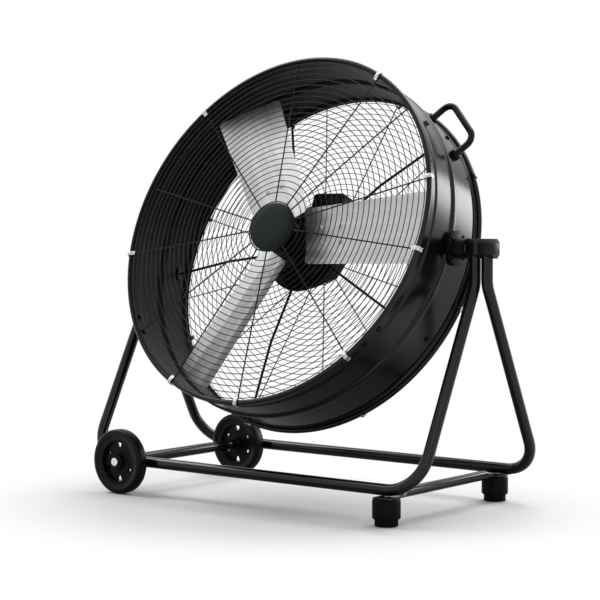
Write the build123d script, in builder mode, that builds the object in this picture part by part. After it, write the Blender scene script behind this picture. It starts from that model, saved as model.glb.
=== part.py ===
from build123d import *
import os
from math import cos, radians, sin, sqrt, tan

# Drum fan on a two-tube stand, in millimetres.
# +Z is up, X runs along the tilt axis with the feet at +X and the wheels at -X,
# and the air leaves towards -Y. The pieces are drawn with the tilt axis over y 0
# and saved AXIS_OFFSET further along +Y, so the origin is on the floor under the
# middle of the whole fan.

# ---------------------------------------------------------------- stand sizes
PIVOT_HEIGHT = 575.0
AXIS_OFFSET = 18.0
TUBE_RADIUS = 12.5
TUBE_WALL = 1.6
RAIL_SPREAD = 212.0
LEG_CLEARANCE = 48.0
BEND_RADIUS = 80.0
KNEE_DROP = 78.0
KNEE_RADIUS = 60.0
TUBE_TOP_RISE = 14.0
PUSH_FIT = 0.1
SEAT_GAP = 0.3

FOOT_RADIUS = 30.0
FOOT_PAD_RADIUS = 25.0
FOOT_PAD_HEIGHT = 15.0
FOOT_POCKET_RADIUS = 10.0
FOOT_WEB = 18.0
FOOT_CHAMFER = 3.0
FOOT_SCREW_RADIUS = 4.0
FOOT_SCREW_HEAD = (7.0, 6.0)
FOOT_SCREW_BITE = 8.0

CROSS_BAR_RADIUS = 11.0
CROSS_BAR_WALL = 1.5
CROSS_BAR_TAPER = 26.0
CROSS_TAB = (40.0, 58.0, 4.0)
CROSS_BAR_LIFT = 4.0
CROSS_BAR_OFFSET = 6.0

# ------------------------------------------------------------ wheels and axle
WHEEL_INSET = 116.0
WHEEL_RADIUS = 75.0
WHEEL_WIDTH = 29.0
TYRE_BORE = 52.0
TYRE_SHOULDER = 5.0
TYRE_SIDE_STEP = 2.5
RIM_LIP = 5.0
RIM_WEB = 7.0
RIM_HUB_RADIUS = 17.0
RIM_WINDOWS = 6
RIM_WINDOW_INNER = 24.0
RIM_WINDOW_OUTER = 43.0
RIM_WINDOW_WIDTH = 11.0
BUSH_RADIUS = 9.0
AXLE_RADIUS = 6.0
RUNNING_FIT = 0.05
AXLE_WASHER = (12.0, 2.4)
AXLE_CAP_RADIUS = 10.5
AXLE_CAP_HEIGHT = 6.0
AXLE_CAP_DEPTH = 4.0

# ------------------------------------------------------------- tilting pivots
BLOCK_DEPTH = 30.0
BLOCK_HEIGHT = 42.0
BLOCK_CHAMFER = 8.0
BLOCK_WALL = 2.5
BOLT_RADIUS = 6.0
BOLT_HEAD = (11.0, 6.0)
BOLT_RECESS_RADIUS = 13.0
BOLT_RECESS_DEPTH = 8.0
BOLT_BITE = 30.0
PIVOT_CAP_THICKNESS = 2.8
BOSS_RADIUS = 22.0
BOSS_FLANGE_RADIUS = 38.0
BOSS_FLANGE_RISE = 4.0
BOSS_ROOT_DEPTH = 20.0
BOSS_SCREW_CIRCLE = 30.0
BOSS_SCREWS = 4
BOSS_SCREW_RADIUS = 2.5
BOSS_SCREW_HEAD = (5.5, 3.0)
FRICTION_WASHER = 3.0

# ----------------------------------------------------------------- drum sizes
TILT = 22.0
RIM_RADIUS = 420.0
RIM_BEAD = 6.0
WALL_INSET = 9.0
SHEET = 2.0
FRONT_REACH = 130.0
REAR_REACH = 95.0
STEP_STATION = 92.0
STEP_HEIGHT = 2.0
MID_BEAD_STATION = 20.0
MID_BEAD_HALF_WIDTH = 10.0
MID_BEAD_HEIGHT = 7.0
GROOVE_STATION = -75.0
GROOVE_HALF_WIDTH = 8.0
GROOVE_DEPTH = 5.0
SLOPE = 4.0

# --------------------------------------------------------------- guard sizes
GUARD_EDGE = 15.0
RING_PITCH = 14.0
RING_WIDTH = 3.0
SPOKE_WIDTH = 4.0
GUARD_THICKNESS = 3.5
GUARD_INSET = 2.0
GUARD_HUB = (57.5, 61.5)
FRONT_SPOKES = (96, 61, 43, 16, -7, -45, -86, -115, -140, -170, 166, 135)
FRONT_CLIPS = (61, 16, -7, -45, -86, -115, -170, 135)
REAR_SPOKES = tuple(range(15, 360, 30))
REAR_CLIPS = tuple(range(30, 390, 45))
CLIP_WIDTH = 12.0
CLIP_SHEET = 2.0
CLIP_REACH = 23.0
CLIP_LIP = 12.0
CLIP_SCREW_RADIUS = 1.5
CLIP_SCREW_HEAD = (4.0, 2.4)
CLIP_SCREW_BITE = 7.0
CAP_RADIUS = 57.0
CAP_SHEET = 2.0
CAP_DEPTH = 18.0
CAP_PROUD = 3.0

# --------------------------------------------------------------- rotor sizes
SHAFT_RADIUS = 8.0
SHAFT_FRONT = 88.0
SHAFT_REAR = -54.0
HUB_RADIUS = 36.0
HUB_STATIONS = (28.0, 76.0)
HUB_NUT = (13.0, 10.0)
ARM_LENGTH = 165.0
ARM_WIDTH = 56.0
ARM_THICKNESS = 5.0
BLADE_STATION = 55.0
BLADE_PITCH = 18.0
BLADE_ANGLES = (124.0, 4.0, -116.0)
BLADE_TIP_INSET = 26.0
BLADE_ROOT_RADIUS = 48.0
BLADE_ROOT_CHORD = 124.0
BLADE_TIP_CHORD = 158.0
BLADE_SHEET = 1.6
BLADE_FOLD = 7.0
BLADE_FOLD_SHARE = 0.25
RIVET_RADIUS = 3.0
RIVET_HEAD = (5.5, 2.2)
RIVET_SPACING = (52.0, 34.0)
RIVET_CENTRE = 118.0

# --------------------------------------------------------------- motor sizes
MOTOR_RADIUS = 88.0
MOTOR_WALL = 6.0
BELL_STATIONS = (12.0, -8.0)
BODY_END = -40.0
MOTOR_REAR = -56.0
BELL_WALL = 4.0
BELL_TAPER = 10.0
FLANGE_RADIUS = 104.0
FLANGE_THICKNESS = 4.0
BEARING = (17.5, 10.0)
CORE_STATIONS = (-38.0, -10.0)
ROTOR_CORE_RADIUS = 49.0
AIR_GAP = 0.5
CRADLE_ARMS = 5
CRADLE_FIRST_ANGLE = 44.0
CRADLE_ROD_RADIUS = 3.5
CRADLE_BEND_RADIUS = 230.0
CRADLE_END_STATION = -48.0
CRADLE_FOOT = (30.0, 20.0, 3.5)
CRADLE_BOLT_CIRCLE = 96.5
CRADLE_BOLT_RADIUS = 3.0
CRADLE_BOLT_HEAD = (5.5, 3.5)

BOX_CENTRE = (20.0, -44.0)
BOX_SIZE = (90.0, 52.0)
BOX_BOTTOM = 76.0
BOX_FLOOR = 97.0
BOX_SPLIT = 133.0
BOX_TOP = 143.0
BOX_WALL = 3.0
BOX_CORNER = 10.0
CAPACITOR = (15.0, 60.0)
GLAND_RADIUS = 9.0
GLAND_LENGTH = 16.0
GLAND_HEIGHT = 112.0
LEAD_RADIUS = 3.0
LEAD_INLET = (93.0, 12.0)
LEAD_BOW = (122.0, (138.0, 64.0), 124.0)
LEAD_BEND_SHARE = 0.45
INLET_RADIUS = 7.0

SWITCH_SIZE = (34.0, 34.0, 14.0)
SWITCH_BUSH = (5.0, 4.0)
KNOB_RADIUS = 18.0
KNOB_LENGTH = 14.0
KNOB_STEM = (3.0, 12.0)
KNOB_GRIPS = 12

# -------------------------------------------------------------- drum fittings
HANDLE_ANGLE = 43.0
HANDLE_STATION = -28.0
HANDLE_HALF_SPAN = 62.0
HANDLE_RISE = 56.0
HANDLE_ROD = 7.5
HANDLE_CORNER = 24.0
HANDLE_FOOT = (13.0, 5.0)
HANDLE_SCREW = (3.0, 6.0, 4.0)
HANDLE_SCREW_BITE = 14.0
WALL_BOLT_ANGLES = (-36.0, -144.0)
WALL_BOLT_HALF_PITCH = 3.0
WALL_BOLT_STATION = 108.0
WALL_BOLT_RADIUS = 3.0
WALL_BOLT_HEAD = (6.5, 4.0)

# ------------------------------------------------------------ derived planes
TILT_RAD = radians(TILT)
HEAD = Plane(
    origin=(0, 0, PIVOT_HEIGHT),
    x_dir=(1, 0, 0),
    z_dir=(0, -cos(TILT_RAD), sin(TILT_RAD)),
)
HEAD_AXIS = Axis(HEAD.origin, HEAD.z_dir)
# Radius along the plane's own x and distance towards the outlet along its own y.
SECTION = Plane(origin=HEAD.origin, x_dir=HEAD.x_dir, z_dir=-HEAD.y_dir)

BASE = (Align.CENTER, Align.CENTER, Align.MIN)
SIDES = {"left": -1, "right": 1}
RAIL_HEIGHT = WHEEL_RADIUS
FRONT_LEG_X = RIM_RADIUS + LEG_CLEARANCE
REAR_LEG_X = FRONT_LEG_X + 2 * (TUBE_RADIUS + BLOCK_WALL)
FOOT_X = FRONT_LEG_X - BEND_RADIUS
WHEEL_X = WHEEL_INSET - FRONT_LEG_X
WALL_RADIUS = RIM_RADIUS - WALL_INSET
BOSS_FLANGE_X = RIM_RADIUS + BOSS_FLANGE_RISE
BOSS_ROOT_X = RIM_RADIUS - BOSS_ROOT_DEPTH
GUARD_RADIUS = RIM_RADIUS - GUARD_EDGE
RING_COUNT = int((GUARD_RADIUS - GUARD_HUB[1]) / RING_PITCH)
CLIP_INNER_RADIUS = RIM_RADIUS - CLIP_REACH
BLADE_TIP_RADIUS = RIM_RADIUS - BLADE_TIP_INSET
FRONT_BEAD_STATION = FRONT_REACH - RIM_BEAD
REAR_BEAD_STATION = RIM_BEAD - REAR_REACH
BEAD_RADIUS = RIM_RADIUS - RIM_BEAD
FRONT_GUARD_STATION = FRONT_REACH - GUARD_INSET - GUARD_THICKNESS
REAR_GUARD_STATION = GUARD_INSET - REAR_REACH
FOOT_TOP = RAIL_HEIGHT - TUBE_RADIUS - CROSS_TAB[2] - SEAT_GAP
WHEEL_FACE = RAIL_SPREAD + TUBE_RADIUS + AXLE_WASHER[1] + SEAT_GAP
INNER_WHEEL_FACE = RAIL_SPREAD - TUBE_RADIUS - AXLE_WASHER[1] - SEAT_GAP
INNER_BLOCK = (FRONT_LEG_X - TUBE_RADIUS - BLOCK_WALL, FRONT_LEG_X + TUBE_RADIUS + BLOCK_WALL - SEAT_GAP)
OUTER_BLOCK = (
    REAR_LEG_X - TUBE_RADIUS - BLOCK_WALL + SEAT_GAP,
    REAR_LEG_X + TUBE_RADIUS + 1.0 + BOLT_RECESS_DEPTH,
)
RECESS_X = OUTER_BLOCK[1] - BOLT_RECESS_DEPTH
BOSS_END_X = INNER_BLOCK[0] - FRICTION_WASHER - 2 * SEAT_GAP
CRADLE_STATION = BELL_STATIONS[1] - FLANGE_THICKNESS
CRADLE_ROD_STATION = CRADLE_STATION - FLANGE_THICKNESS - CRADLE_ROD_RADIUS + 0.5
CRADLE_ANGLES = [CRADLE_FIRST_ANGLE + 360 / CRADLE_ARMS * i for i in range(CRADLE_ARMS)]
CRADLE_BOLT_ANGLES = [a + 180 / CRADLE_ARMS for a in CRADLE_ANGLES]
WALL_INNER = WALL_RADIUS - SHEET
LEAD_STATION = (MOTOR_REAR + BODY_END) / 2 + 1


# ------------------------------------------------------------------- helpers
def save(part, name):
    """Move one finished piece to the fan's origin, label it and write its STEP file."""
    placed = part.moved(Location((0, AXIS_OFFSET, 0)))
    placed.label = name
    export_step(placed, f"parts/{name}.step")


def rod(plane, radius, length, mode=Mode.ADD):
    """Add a round bar that stands on a plane, or cut one away."""
    with Locations(plane.location):
        Cylinder(radius, length, align=BASE, mode=mode)


def hexagon(plane, across, length):
    """Add a six-sided head that stands on a plane; across is its corner radius."""
    with BuildSketch(plane) as outline:
        RegularPolygon(across, 6)
    extrude(outline.sketch, amount=length)


def outline(plane, *points):
    """Closed straight-sided outline on a plane."""
    with BuildSketch(plane) as shape:
        with BuildLine():
            Polyline(*points, close=True)
        make_face()
    return shape.sketch


def head_point(x, y, station):
    """Point given along the fan's own axes: across, up and towards the outlet."""
    return HEAD.from_local_coords(Vector(x, y, station))


def outward(angle):
    """Direction away from the fan's axis at an angle seen from the outlet."""
    turn = radians(angle)
    return HEAD.x_dir * cos(turn) + HEAD.y_dir * sin(turn)


def polar_plane(angle):
    """Plane at the tilt axis: x away from the fan's axis, z towards the outlet."""
    return Plane(origin=HEAD.origin, x_dir=outward(angle), z_dir=HEAD.z_dir)


def wall_plane(angle, radius, station):
    """Plane that faces outward from a place on the drum; its x runs to the outlet."""
    origin = HEAD.origin + outward(angle) * radius + HEAD.z_dir * station
    return Plane(origin=origin, x_dir=HEAD.z_dir, z_dir=outward(angle))


def cross_plane(x, y, z, side=1):
    """Plane whose normal runs along X, to the feet or, with side -1, to the wheels."""
    return Plane(origin=(x, y, z), x_dir=(0, 1, 0), z_dir=(side, 0, 0))


def along_y(x, y, z):
    """Plane whose normal runs along +Y."""
    return Plane(origin=(x, y, z), x_dir=(1, 0, 0), z_dir=(0, 1, 0))


def wall_points(shift):
    """Outer face of the drum wall from front to rear, moved outward by shift."""
    wall = WALL_RADIUS + shift
    step = wall + STEP_HEIGHT
    crest = wall + MID_BEAD_HEIGHT
    trough = wall - GROOVE_DEPTH
    return [
        (wall, FRONT_BEAD_STATION),
        (wall, STEP_STATION + SLOPE / 2),
        (step, STEP_STATION - SLOPE / 2),
        (step, MID_BEAD_STATION + MID_BEAD_HALF_WIDTH),
        (crest, MID_BEAD_STATION + MID_BEAD_HALF_WIDTH - SLOPE),
        (crest, MID_BEAD_STATION - MID_BEAD_HALF_WIDTH + SLOPE),
        (wall, MID_BEAD_STATION - MID_BEAD_HALF_WIDTH),
        (wall, GROOVE_STATION + GROOVE_HALF_WIDTH),
        (trough, GROOVE_STATION + GROOVE_HALF_WIDTH - SLOPE),
        (trough, GROOVE_STATION - GROOVE_HALF_WIDTH + SLOPE),
        (wall, GROOVE_STATION - GROOVE_HALF_WIDTH),
        (wall, REAR_BEAD_STATION),
    ]


def drum_space(shift):
    """Solid that fills the drum out to its wall, to trim what sits on the wall."""
    points = wall_points(shift)
    with BuildPart() as space:
        revolve(
            outline(SECTION, (0, points[0][1]), *points, (0, points[-1][1])),
            axis=HEAD_AXIS,
        )
    return space.part


def turned(*points):
    """Revolve an outline of radius and station about the fan's axis."""
    revolve(outline(SECTION, *points), axis=HEAD_AXIS)


# --------------------------------------------------------------------- stand
def make_frame_tube(leg_x, side):
    """One bent tube: two legs that meet the pivots, and the rail between them."""
    top = PIVOT_HEIGHT + TUBE_TOP_RISE
    knee = PIVOT_HEIGHT - KNEE_DROP
    rail_y = side * RAIL_SPREAD
    points = [
        (-leg_x, 0, top),
        (-leg_x, 0, knee),
        (-leg_x, rail_y, RAIL_HEIGHT),
        (leg_x, rail_y, RAIL_HEIGHT),
        (leg_x, 0, knee),
        (leg_x, 0, top),
    ]
    radii = [KNEE_RADIUS, BEND_RADIUS, BEND_RADIUS, KNEE_RADIUS]
    with BuildPart() as frame_tube:
        with BuildLine() as route:
            FilletPolyline(*points, radius=radii)
        with BuildSketch(Plane(origin=points[0], z_dir=(0, 0, -1))):
            Circle(TUBE_RADIUS)
            Circle(TUBE_RADIUS - TUBE_WALL, mode=Mode.SUBTRACT)
        sweep(path=route.line)
        for end in SIDES.values():
            start = cross_plane(end * (leg_x - 2 * TUBE_RADIUS), 0, PIVOT_HEIGHT, end)
            rod(start, BOLT_RADIUS + PUSH_FIT, 4 * TUBE_RADIUS, Mode.SUBTRACT)
        axle_start = along_y(WHEEL_X, rail_y - 2 * TUBE_RADIUS, RAIL_HEIGHT)
        rod(axle_start, AXLE_RADIUS + PUSH_FIT, 4 * TUBE_RADIUS, Mode.SUBTRACT)
        foot_hole = Plane.XY.offset(RAIL_HEIGHT - 2 * TUBE_RADIUS)
        foot_hole = Plane(origin=(FOOT_X, rail_y, foot_hole.origin.Z))
        rod(foot_hole, FOOT_SCREW_RADIUS + PUSH_FIT, 2 * TUBE_RADIUS, Mode.SUBTRACT)
    return frame_tube.part


def make_cross_bar():
    """Round bar between the feet, pressed flat at both ends to lie on them."""
    tab_length, tab_width, tab_height = CROSS_TAB
    tab_z = FOOT_TOP + tab_height / 2
    bar_z = tab_z + CROSS_BAR_LIFT
    bar_x = FOOT_X + CROSS_BAR_OFFSET
    tab_start = RAIL_SPREAD - tab_width / 2
    bar_half = tab_start - CROSS_BAR_TAPER
    with BuildPart() as cross_bar:
        rod(along_y(bar_x, -bar_half, bar_z), CROSS_BAR_RADIUS, 2 * bar_half)
        for side in SIDES.values():
            with BuildSketch(along_y(bar_x, side * bar_half, bar_z)):
                Circle(CROSS_BAR_RADIUS)
            with BuildSketch(along_y(bar_x, side * tab_start, tab_z)):
                Ellipse(tab_length / 2 - 1, tab_height / 2)
            loft()
            with Locations((bar_x, side * RAIL_SPREAD, tab_z)):
                Box(tab_length, tab_width, tab_height)
            hole = Plane(origin=(FOOT_X, side * RAIL_SPREAD, tab_z - tab_height))
            rod(hole, FOOT_SCREW_RADIUS + PUSH_FIT, 2 * tab_height, Mode.SUBTRACT)
        hollow = along_y(bar_x, -bar_half, bar_z)
        rod(hollow, CROSS_BAR_RADIUS - CROSS_BAR_WALL, 2 * bar_half, Mode.SUBTRACT)
    return cross_bar.part


def make_foot(side):
    """Plastic foot under the rail, with a pocket below for its screw."""
    centre = (FOOT_X, side * RAIL_SPREAD)
    base = Plane(origin=(*centre, FOOT_PAD_HEIGHT))
    with BuildPart() as foot:
        rod(base, FOOT_RADIUS, FOOT_TOP - FOOT_PAD_HEIGHT)
        chamfer(foot.edges().group_by(Axis.Z)[-1], FOOT_CHAMFER)
        pocket = FOOT_TOP - FOOT_WEB - FOOT_PAD_HEIGHT
        rod(base, FOOT_POCKET_RADIUS, pocket, Mode.SUBTRACT)
        rod(base, FOOT_SCREW_RADIUS + PUSH_FIT, FOOT_TOP, Mode.SUBTRACT)
    return foot.part


def make_foot_pads():
    """Rubber pads with a spigot that pushes up into each foot."""
    spigot = (FOOT_TOP - FOOT_WEB - FOOT_SCREW_HEAD[1] - 1) - FOOT_PAD_HEIGHT
    with BuildPart() as foot_pads:
        for side in SIDES.values():
            floor = Plane(origin=(FOOT_X, side * RAIL_SPREAD, 0))
            rod(floor, FOOT_PAD_RADIUS, FOOT_PAD_HEIGHT)
            top = Plane(origin=(FOOT_X, side * RAIL_SPREAD, FOOT_PAD_HEIGHT))
            rod(top, FOOT_POCKET_RADIUS - PUSH_FIT, spigot)
    return foot_pads.part


def make_foot_screws():
    """Screws that hold foot, cross bar and rail together."""
    head_radius, head_height = FOOT_SCREW_HEAD
    web = FOOT_TOP - FOOT_WEB
    length = RAIL_HEIGHT - TUBE_RADIUS + TUBE_WALL + FOOT_SCREW_BITE - web
    with BuildPart() as foot_screws:
        for side in SIDES.values():
            seat = Plane(origin=(FOOT_X, side * RAIL_SPREAD, web - head_height))
            rod(seat, head_radius, head_height)
            rod(seat.offset(head_height), FOOT_SCREW_RADIUS, length)
    return foot_screws.part


def make_axle_tube():
    """Spacer tube round the axle, from the front rail to the rear wheel."""
    start = -(RAIL_SPREAD - TUBE_RADIUS)
    end = INNER_WHEEL_FACE - WHEEL_WIDTH - AXLE_WASHER[1] - 2 * SEAT_GAP
    with BuildPart() as axle_tube:
        rod(along_y(WHEEL_X, start, RAIL_HEIGHT), TUBE_RADIUS, end - start)
        bore = along_y(WHEEL_X, start, RAIL_HEIGHT)
        rod(bore, AXLE_RADIUS + PUSH_FIT, end - start, Mode.SUBTRACT)
    return axle_tube.part


def make_axle():
    """Steel axle through both rails."""
    start = -(WHEEL_FACE + WHEEL_WIDTH + AXLE_CAP_DEPTH)
    end = RAIL_SPREAD + TUBE_RADIUS + AXLE_CAP_DEPTH
    with BuildPart() as axle:
        rod(along_y(WHEEL_X, start, RAIL_HEIGHT), AXLE_RADIUS, end - start)
    return axle.part


def make_axle_caps():
    """Domed push-on caps at both ends of the axle."""
    ends = {-1: WHEEL_FACE + WHEEL_WIDTH + SEAT_GAP, 1: RAIL_SPREAD + TUBE_RADIUS + SEAT_GAP}
    with BuildPart() as axle_caps:
        for side, reach in ends.items():
            seat = Plane(
                origin=(WHEEL_X, side * reach, RAIL_HEIGHT),
                x_dir=(1, 0, 0),
                z_dir=(0, side, 0),
            )
            rod(seat, AXLE_CAP_RADIUS, AXLE_CAP_HEIGHT)
            rod(seat, AXLE_RADIUS + PUSH_FIT, AXLE_CAP_DEPTH, Mode.SUBTRACT)
        far_rims = axle_caps.edges().filter_by(GeomType.CIRCLE).group_by(Axis.Y)
        fillet(far_rims[0] + far_rims[-1], AXLE_CAP_HEIGHT / 2)
    return axle_caps.part


def make_axle_washers():
    """Washers on both sides of the rear wheel and inside the front wheel."""
    radius, thickness = AXLE_WASHER
    starts = [
        -(WHEEL_FACE - SEAT_GAP),
        INNER_WHEEL_FACE - WHEEL_WIDTH - thickness - SEAT_GAP,
        INNER_WHEEL_FACE + SEAT_GAP,
    ]
    with BuildPart() as washers:
        for start in starts:
            seat = along_y(WHEEL_X, start, RAIL_HEIGHT)
            rod(seat, radius, thickness)
            rod(seat, AXLE_RADIUS + PUSH_FIT, thickness, Mode.SUBTRACT)
    return washers.part


def make_pivot_block(side, faces, leg_x, recess):
    """Moulded block on a leg's top end, which carries the tilt bolt."""
    inner, outer = faces
    middle = side * (inner + outer) / 2
    with BuildPart() as block:
        with Locations((middle, 0, PIVOT_HEIGHT)):
            Box(outer - inner, BLOCK_DEPTH, BLOCK_HEIGHT)
        chamfer(block.edges().filter_by(Axis.X), BLOCK_CHAMFER)
        socket = Plane(origin=(side * leg_x, 0, PIVOT_HEIGHT - BLOCK_HEIGHT))
        depth = BLOCK_HEIGHT + TUBE_TOP_RISE + SEAT_GAP
        rod(socket, TUBE_RADIUS + PUSH_FIT, depth, Mode.SUBTRACT)
        bore = cross_plane(side * inner, 0, PIVOT_HEIGHT, side)
        rod(bore, BOLT_RADIUS + PUSH_FIT, outer - inner, Mode.SUBTRACT)
        if recess:
            pocket = cross_plane(side * RECESS_X, 0, PIVOT_HEIGHT, side)
            rod(pocket, BOLT_RECESS_RADIUS, BOLT_RECESS_DEPTH, Mode.SUBTRACT)
    return block.part


def make_pivot_caps():
    """Plugs that close the outer blocks over the bolt heads."""
    start = RECESS_X + SEAT_GAP + BOLT_HEAD[1] + SEAT_GAP
    with BuildPart() as pivot_caps:
        for side in SIDES.values():
            seat = cross_plane(side * start, 0, PIVOT_HEIGHT, side)
            rod(seat, BOLT_RECESS_RADIUS - PUSH_FIT, PIVOT_CAP_THICKNESS)
    return pivot_caps.part


# -------------------------------------------------------------------- wheels
def wheel_section(face):
    """Plane through the axle: x is the wheel's radius, y runs along +Y from a face."""
    return Plane(origin=(WHEEL_X, face, RAIL_HEIGHT), x_dir=(1, 0, 0), z_dir=(0, 0, 1))


def wheel_axis(face):
    """Axis of a wheel that starts at a face."""
    return Axis((WHEEL_X, face, RAIL_HEIGHT), (0, 1, 0))


def make_tyre(face):
    """Rubber tyre with round shoulders and a step in each side."""
    step = TYRE_BORE + (WHEEL_RADIUS - TYRE_BORE) * 0.55
    points = [
        (TYRE_BORE, TYRE_SIDE_STEP),
        (step, TYRE_SIDE_STEP),
        (step + TYRE_SIDE_STEP, 0),
        (WHEEL_RADIUS - TYRE_SHOULDER, 0),
        (WHEEL_RADIUS, TYRE_SHOULDER),
        (WHEEL_RADIUS, WHEEL_WIDTH - TYRE_SHOULDER),
        (WHEEL_RADIUS - TYRE_SHOULDER, WHEEL_WIDTH),
        (step + TYRE_SIDE_STEP, WHEEL_WIDTH),
        (step, WHEEL_WIDTH - TYRE_SIDE_STEP),
        (TYRE_BORE, WHEEL_WIDTH - TYRE_SIDE_STEP),
    ]
    with BuildPart() as tyre:
        revolve(outline(wheel_section(face), *points), axis=wheel_axis(face))
    return tyre.part


def make_rim(face):
    """Plastic rim: hub and lip joined by a web with windows between six spokes."""
    lip = TYRE_BORE - PUSH_FIT
    web_low = (WHEEL_WIDTH - RIM_WEB) / 2
    web_high = (WHEEL_WIDTH + RIM_WEB) / 2
    bore = BUSH_RADIUS + RUNNING_FIT
    points = [
        (bore, 0),
        (RIM_HUB_RADIUS, 0),
        (RIM_HUB_RADIUS, web_low),
        (lip - RIM_LIP, web_low),
        (lip - RIM_LIP, TYRE_SIDE_STEP),
        (lip, TYRE_SIDE_STEP),
        (lip, WHEEL_WIDTH - TYRE_SIDE_STEP),
        (lip - RIM_LIP, WHEEL_WIDTH - TYRE_SIDE_STEP),
        (lip - RIM_LIP, web_high),
        (RIM_HUB_RADIUS, web_high),
        (RIM_HUB_RADIUS, WHEEL_WIDTH),
        (bore, WHEEL_WIDTH),
    ]
    length = RIM_WINDOW_OUTER - RIM_WINDOW_INNER
    with BuildPart() as rim:
        revolve(outline(wheel_section(face), *points), axis=wheel_axis(face))
        with BuildSketch(along_y(WHEEL_X, face, RAIL_HEIGHT)):
            with PolarLocations((RIM_WINDOW_INNER + RIM_WINDOW_OUTER) / 2, RIM_WINDOWS):
                RectangleRounded(length, RIM_WINDOW_WIDTH, RIM_WINDOW_WIDTH / 4)
        extrude(amount=WHEEL_WIDTH, mode=Mode.SUBTRACT)
    return rim.part


def make_bush(face):
    """Sleeve pressed into the rim, which runs on the axle."""
    seat = along_y(WHEEL_X, face, RAIL_HEIGHT)
    with BuildPart() as bush:
        rod(seat, BUSH_RADIUS, WHEEL_WIDTH)
        rod(seat, AXLE_RADIUS + RUNNING_FIT, WHEEL_WIDTH, Mode.SUBTRACT)
    return bush.part


# ---------------------------------------------------------------- drum shell
def make_drum_shell():
    """Rolled steel drum with a bead at each rim and one round its middle."""
    outer = wall_points(0)
    inner = [(radius - SHEET, station) for radius, station in reversed(outer)]
    with BuildPart() as drum_shell:
        with BuildSketch(SECTION):
            with BuildLine():
                Polyline(*outer, *inner, close=True)
            make_face()
            with Locations((BEAD_RADIUS, FRONT_BEAD_STATION), (BEAD_RADIUS, REAR_BEAD_STATION)):
                Circle(RIM_BEAD)
        revolve(axis=HEAD_AXIS)
        for side in SIDES.values():
            for place in boss_screw_planes(side):
                start = place.offset(-BOSS_FLANGE_X + BOSS_ROOT_X)
                rod(start, BOSS_SCREW_RADIUS + PUSH_FIT, BOSS_FLANGE_X - BOSS_ROOT_X, Mode.SUBTRACT)
        for place in handle_planes():
            rod(place.offset(-30), HANDLE_SCREW[0] + PUSH_FIT, 60, Mode.SUBTRACT)
        for place in wall_bolt_planes() + cradle_foot_planes():
            rod(place.offset(-10), WALL_BOLT_RADIUS + PUSH_FIT, 20, Mode.SUBTRACT)
        for place in clip_planes():
            hole = place.offset(FRONT_REACH - CLIP_SCREW_BITE)
            hole = Plane(origin=hole.origin + hole.x_dir * BEAD_RADIUS, z_dir=hole.z_dir)
            rod(hole, CLIP_SCREW_RADIUS + PUSH_FIT, CLIP_SCREW_BITE, Mode.SUBTRACT)
        for place in rear_clip_planes():
            hole = place.offset(REAR_REACH - CLIP_SCREW_BITE)
            hole = Plane(origin=hole.origin + hole.x_dir * BEAD_RADIUS, z_dir=hole.z_dir)
            rod(hole, CLIP_SCREW_RADIUS + PUSH_FIT, CLIP_SCREW_BITE, Mode.SUBTRACT)
    return drum_shell.part


def boss_screw_planes(side):
    """Places of the screws through one pivot bracket's flange, facing outward."""
    places = []
    for index in range(BOSS_SCREWS):
        turn = radians(45 + 360 / BOSS_SCREWS * index)
        y = BOSS_SCREW_CIRCLE * cos(turn)
        z = PIVOT_HEIGHT + BOSS_SCREW_CIRCLE * sin(turn)
        places.append(cross_plane(side * BOSS_FLANGE_X, y, z, side))
    return places


def handle_plane():
    """Plane at the drum wall under the handle: x along the drum's edge, z outward."""
    origin = HEAD.origin + outward(HANDLE_ANGLE) * WALL_RADIUS + HEAD.z_dir * HANDLE_STATION
    return Plane(origin=origin, x_dir=outward(HANDLE_ANGLE + 90), z_dir=outward(HANDLE_ANGLE))


def handle_planes():
    """Places of the handle's two legs on the wall."""
    middle = handle_plane()
    places = []
    for side in SIDES.values():
        origin = middle.origin + middle.x_dir * side * HANDLE_HALF_SPAN
        places.append(Plane(origin=origin, x_dir=middle.x_dir, z_dir=middle.z_dir))
    return places


def wall_bolt_planes():
    """Places of the bolts low on the drum, at its outer face."""
    angles = [a + s * WALL_BOLT_HALF_PITCH for a in WALL_BOLT_ANGLES for s in SIDES.values()]
    return [wall_plane(angle, WALL_RADIUS, WALL_BOLT_STATION) for angle in angles]


def cradle_foot_planes():
    """Places on the drum wall where the motor cradle is bolted."""
    return [wall_plane(angle, WALL_RADIUS, CRADLE_END_STATION) for angle in CRADLE_ANGLES]


def clip_planes():
    """Planes of the front guard's clips."""
    return [polar_plane(angle) for angle in FRONT_CLIPS]


def rear_clip_planes():
    """Planes of the rear guard's clips; their z points to the rear."""
    planes = []
    for angle in REAR_CLIPS:
        planes.append(Plane(origin=HEAD.origin, x_dir=outward(angle), z_dir=-HEAD.z_dir))
    return planes


# ------------------------------------------------------------- pivot on drum
def make_pivot_bracket(side):
    """Boss on the drum wall that takes the tilt bolt."""
    with BuildPart() as bracket:
        start = cross_plane(side * BOSS_ROOT_X, 0, PIVOT_HEIGHT, side)
        rod(start, BOSS_FLANGE_RADIUS, BOSS_FLANGE_X - BOSS_ROOT_X)
        rod(start, BOSS_RADIUS, BOSS_END_X - BOSS_ROOT_X)
        add(drum_space(SEAT_GAP), mode=Mode.SUBTRACT)
        bolt_hole = cross_plane(side * (BOSS_END_X - BOLT_BITE), 0, PIVOT_HEIGHT, side)
        rod(bolt_hole, BOLT_RADIUS + PUSH_FIT, BOLT_BITE, Mode.SUBTRACT)
        for place in boss_screw_planes(side):
            hole = place.offset(BOSS_ROOT_X - BOSS_FLANGE_X)
            rod(hole, BOSS_SCREW_RADIUS + PUSH_FIT, BOSS_FLANGE_X - BOSS_ROOT_X, Mode.SUBTRACT)
    return bracket.part


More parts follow.
